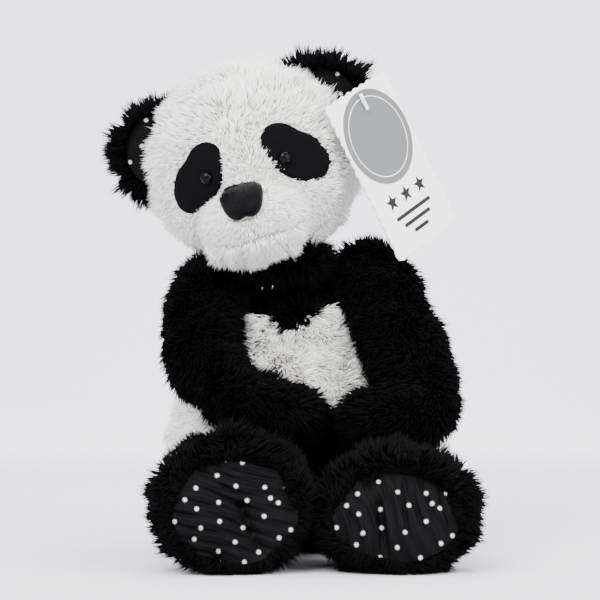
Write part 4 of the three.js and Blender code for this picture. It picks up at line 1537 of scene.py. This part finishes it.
class PANDA_OT_pile(bpy.types.Operator):
    """Cover every plush skin with pile"""
    bl_idname = "panda.pile"
    bl_label = "Pile"

    def execute(self, context):
        self.gain = context.scene.panda_pile.density
        self.head()
        self.muzzle()
        self.ears()
        self.body()
        self.limbs()
        return {"FINISHED"}

    def cover(self, name, skin, colour, style, flow, weight, seed, ride=None, own=(), clear=None):
        style = {**style, "density": style["density"] * self.gain}
        piece = pile(
            name, bpy.data.objects[skin], finishes()[f"{colour}_pile"], style, flow,
            weight, own=own, seed=seed, clear=clear,
        )
        if ride:
            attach(piece, ride)
        return piece

    def head(self):
        centre, half, _, _ = muzzle_box()
        patches = [HEAD_INVERSE @ node_centre(f"eye_patch_{side}") for side in SIDES]
        droop = own_settings()[1].patch_droop

        def on_patch(local):
            """Above 1 outside every patch."""
            nearest = np.full(len(local), FAR_OFF)
            for sign, patch in zip(SIDES.values(), patches):
                x = (local[:, 0] - patch.x) * sign
                z = local[:, 2] - patch.z
                along = x * math.cos(droop) - z * math.sin(droop)
                across = x * math.sin(droop) + z * math.cos(droop)
                reach = np.hypot(along / BARE_PATCH[0], across / BARE_PATCH[1])
                nearest = np.minimum(nearest, np.where(local[:, 1] < 0, reach, FAR_OFF))
            return nearest

        def part(test):
            def weight(points, normals):
                local = to_head(points)
                on_skin = (on_patch(local) > 1) & test(local)
                return on_skin * np.where(local[:, 2] > THROAT_HEIGHT, 1.0, 0.5)
            return weight

        def shorter_on_the_face(points):
            """Trimmed close round the patches and the muzzle, full length at the cheeks."""
            local = to_head(points)
            patch = np.clip(0.45 + 0.55 * (on_patch(local) - 1) / 0.55, 0.45, 1)
            out = np.hypot((local[:, 0] - centre[0]) / half[0], (local[:, 2] - centre[2]) / half[2])
            muzzle = np.clip(0.42 + 0.6 * (out - 1) / 0.7, 0.42, 1)
            return np.where(local[:, 1] < FACE_FRONT, np.minimum(patch, muzzle), 1)

        style = {**HEAD_STYLE, "longer": shorter_on_the_face}
        own = ("ear_back_left", "ear_back_right")
        parts = {
            "head_pile_left": lambda p: (p[:, 0] < 0) & (p[:, 2] < CROWN_HEIGHT),
            "head_pile_right": lambda p: (p[:, 0] >= 0) & (p[:, 2] < CROWN_HEIGHT),
            "head_pile_crown": lambda p: p[:, 2] >= CROWN_HEIGHT,
        }
        for seed, (name, test) in enumerate(parts.items()):
            self.cover(name, "head_plush", "white", style, head_flow, part(test), seed, "head", own)

    def muzzle(self):
        centre, _, mouth, _ = muzzle_box()
        nose = np.array(HEAD_INVERSE @ node_centre("nose"))

        def off_the_nose(points, normals):
            """Bare under the nose, along the seams, and where the head's own pile is."""
            local = to_head(points)
            aside = np.abs(local[:, 0] - centre[0])
            x = (local[:, 0] - nose[0]) / BARE_NOSE[0]
            z = (local[:, 2] - nose[2]) / BARE_NOSE[1]
            outside = (x ** 2 + z ** 2 > 1) | (local[:, 1] > nose[1] + 6 * MM)
            proud = np.linalg.norm(local / (HEAD_RADII - 2 * MM), axis=1) > 1
            upright_seam = (aside < 0.7 * MM) & (local[:, 2] > mouth)
            lip = (np.abs(local[:, 2] - mouth) < 0.6 * MM) & (aside < 15 * MM)
            return outside * proud * np.where(upright_seam | lip, 0.0, 1.0)

        styles = {"muzzle_plush_left": MUZZLE_STYLE, "muzzle_plush_right": MUZZLE_STYLE,
                  "chin_plush": CHIN_STYLE}
        for seed, (name, style) in enumerate(styles.items()):
            self.cover(
                name.replace("plush", "pile"), name, "white", style, muzzle_flow, off_the_nose,
                10 + seed, "head", ("muzzle_probe",),
            )

    def ears(self):
        radius = own_settings()[1].ear_radius
        for seed, side in enumerate(SIDES):
            place = ear_frame(side)

            def bare_front(points, normals):
                return np.where(seen_from(place, points)[:, 2] > -0.5 * MM, 0.0, 1.0)

            def rim(points, normals):
                local = seen_from(place, points)
                reach = np.hypot(local[:, 0], local[:, 1])
                edge = (reach > radius - 3 * MM) & (np.abs(local[:, 2]) < 3 * MM)
                return (edge & (local[:, 1] > -9 * MM)) * 1.0

            kinds = (("pile", EAR_STYLE, bare_front, 20), ("fringe", FRINGE_STYLE, rim, 22))
            for kind, style, weight, first in kinds:
                self.cover(
                    f"ear_{kind}_{side}", f"ear_back_{side}", "black", style,
                    outward_flow(place.translation), weight, first + seed, f"ear_{side}",
                    clear=trimmed,
                )

    def body(self):
        def is_yoke(points):
            border = np.where(points[:, 1] < 0, yoke_edge(points[:, 0]), YOKE_BACK)
            return points[:, 2] > border

        def is_chest(points):
            return (points[:, 1] < CHEST_FRONT) & (points[:, 2] > HEART_BOTTOM)

        def yoke(points, normals):
            return is_yoke(points) * 1.0

        def lap(points, normals):
            return on_lap(points) * 1.0

        def heart(points, normals):
            return (is_chest(points) & ~on_lap(points) & ~is_yoke(points)) * 1.0

        def lower(sign):
            def weight(points, normals):
                here = (points[:, 0] + 5 * MM) * sign >= 0
                seat = np.where(points[:, 2] < 3 * MM, 0.25, 1.0)
                return (here & ~is_chest(points) & ~on_lap(points) & ~is_yoke(points)) * seat
            return weight

        self.cover(
            "neck_pile", "neck_plush", "black", NECK_STYLE, down_flow, everywhere, 36, "neck_collar",
            ("body_plush", "head_plush"),
        )
        panels = (
            ("lap_pile", "black", BODY_STYLE, lap, 37), ("yoke_pile", "black", BODY_STYLE, yoke, 30),
            ("belly_pile", "white", HEART_STYLE, heart, 31),
            ("body_pile_left", "white", BACK_STYLE, lower(-1), 32),
            ("body_pile_right", "white", BACK_STYLE, lower(1), 33),
        )
        for name, colour, style, weight, seed in panels:
            self.cover(name, "body_plush", colour, style, down_flow, weight, seed, "torso")

    def limbs(self):
        for seed, side in enumerate(SIDES):
            low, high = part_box(f"arm_{side}")
            inner = high.x if side == "left" else low.x
            paw = (inner, low.y + 12 * MM, low.z + 14 * MM)
            arm = self.cover(
                f"arm_pile_{side}", f"arm_plush_{side}", "black", BODY_STYLE, limb_flow(paw),
                everywhere, 40 + seed,
            )
            sew_on(arm)
            self.foot(side, np.array(SOLES[side]["half"]), node_centre(f"sole_{side}"), seed)

    def foot(self, side, half, middle, seed):
        facing = sole_facing(side)

        def off_the_sole(points, normals):
            out = points - np.array(middle)
            x, z = out[:, 0] / ((half[0] - 0.8) * MM), out[:, 2] / ((half[1] - 0.8) * MM)
            faces = (normals @ facing > 0.2) & (points[:, 1] < middle.y + 12 * MM)
            floor = np.where(points[:, 2] < 2 * MM, 0.3, 1.0)
            return np.where(faces & (x ** 2 + z ** 2 < 1), 0.0, 1.0) * floor

        def edge(points, normals):
            """Pile brushed in over the edge of the sole, further in some places than others."""
            out = (points - np.array(middle))[:, [0, 2]] / (half * MM)
            inner = 0.93 + 0.06 * swirl(points, 0.02, 60)[:, 0]
            return (np.hypot(*out.T) > inner) * 1.0

        leg = self.cover(
            f"leg_pile_{side}", f"leg_plush_{side}", "black", BODY_STYLE, foot_flow(middle),
            off_the_sole, 44 + seed,
        )
        sew_on(leg)
        self.cover(
            f"sole_edge_pile_{side}", f"sole_cotton_{side}", "black", SOLE_EDGE_STYLE,
            outward_flow(middle, 0.15), edge, 50, f"leg_{side}", (f"leg_plush_{side}",),
        )


# ---------- panel and registration ----------
STEPS = (
    PANDA_OT_stage, PANDA_OT_head, PANDA_OT_muzzle, PANDA_OT_nose, PANDA_OT_eyes, PANDA_OT_ears,
    PANDA_OT_neck, PANDA_OT_body, PANDA_OT_arms, PANDA_OT_legs, PANDA_OT_soles, PANDA_OT_tag,
    PANDA_OT_pile,
)
GROUPS = {
    "panda_pile": PandaPile, "panda_head": PandaHead, "panda_feet": PandaFeet,
    "panda_stage": PandaStage,
}


class PANDA_PT_panel(bpy.types.Panel):
    """The steps and sizes of the plush panda"""
    bl_label = "Plush panda"
    bl_idname = "PANDA_PT_panel"
    bl_space_type = "VIEW_3D"
    bl_region_type = "UI"
    bl_category = "Plush panda"

    def draw(self, context):
        for group in GROUPS:
            box = self.layout.box()
            for name in getattr(context.scene, group).__annotations__:
                box.prop(getattr(context.scene, group), name)
        for step in STEPS:
            self.layout.operator(step.bl_idname)


def register():
    for group in GROUPS.values():
        bpy.utils.register_class(group)
    for name, group in GROUPS.items():
        setattr(bpy.types.Scene, name, PointerProperty(type=group))
    for step in (*STEPS, PANDA_PT_panel):
        bpy.utils.register_class(step)


def unregister():
    for step in (PANDA_PT_panel, *reversed(STEPS)):
        bpy.utils.unregister_class(step)
    for name in GROUPS:
        delattr(bpy.types.Scene, name)
    for group in reversed(GROUPS.values()):
        bpy.utils.unregister_class(group)


def main():
    register()
    for step in STEPS:
        group, action = step.bl_idname.split(".")
        getattr(getattr(bpy.ops, group), action)()


if __name__ == "__main__":
    main()
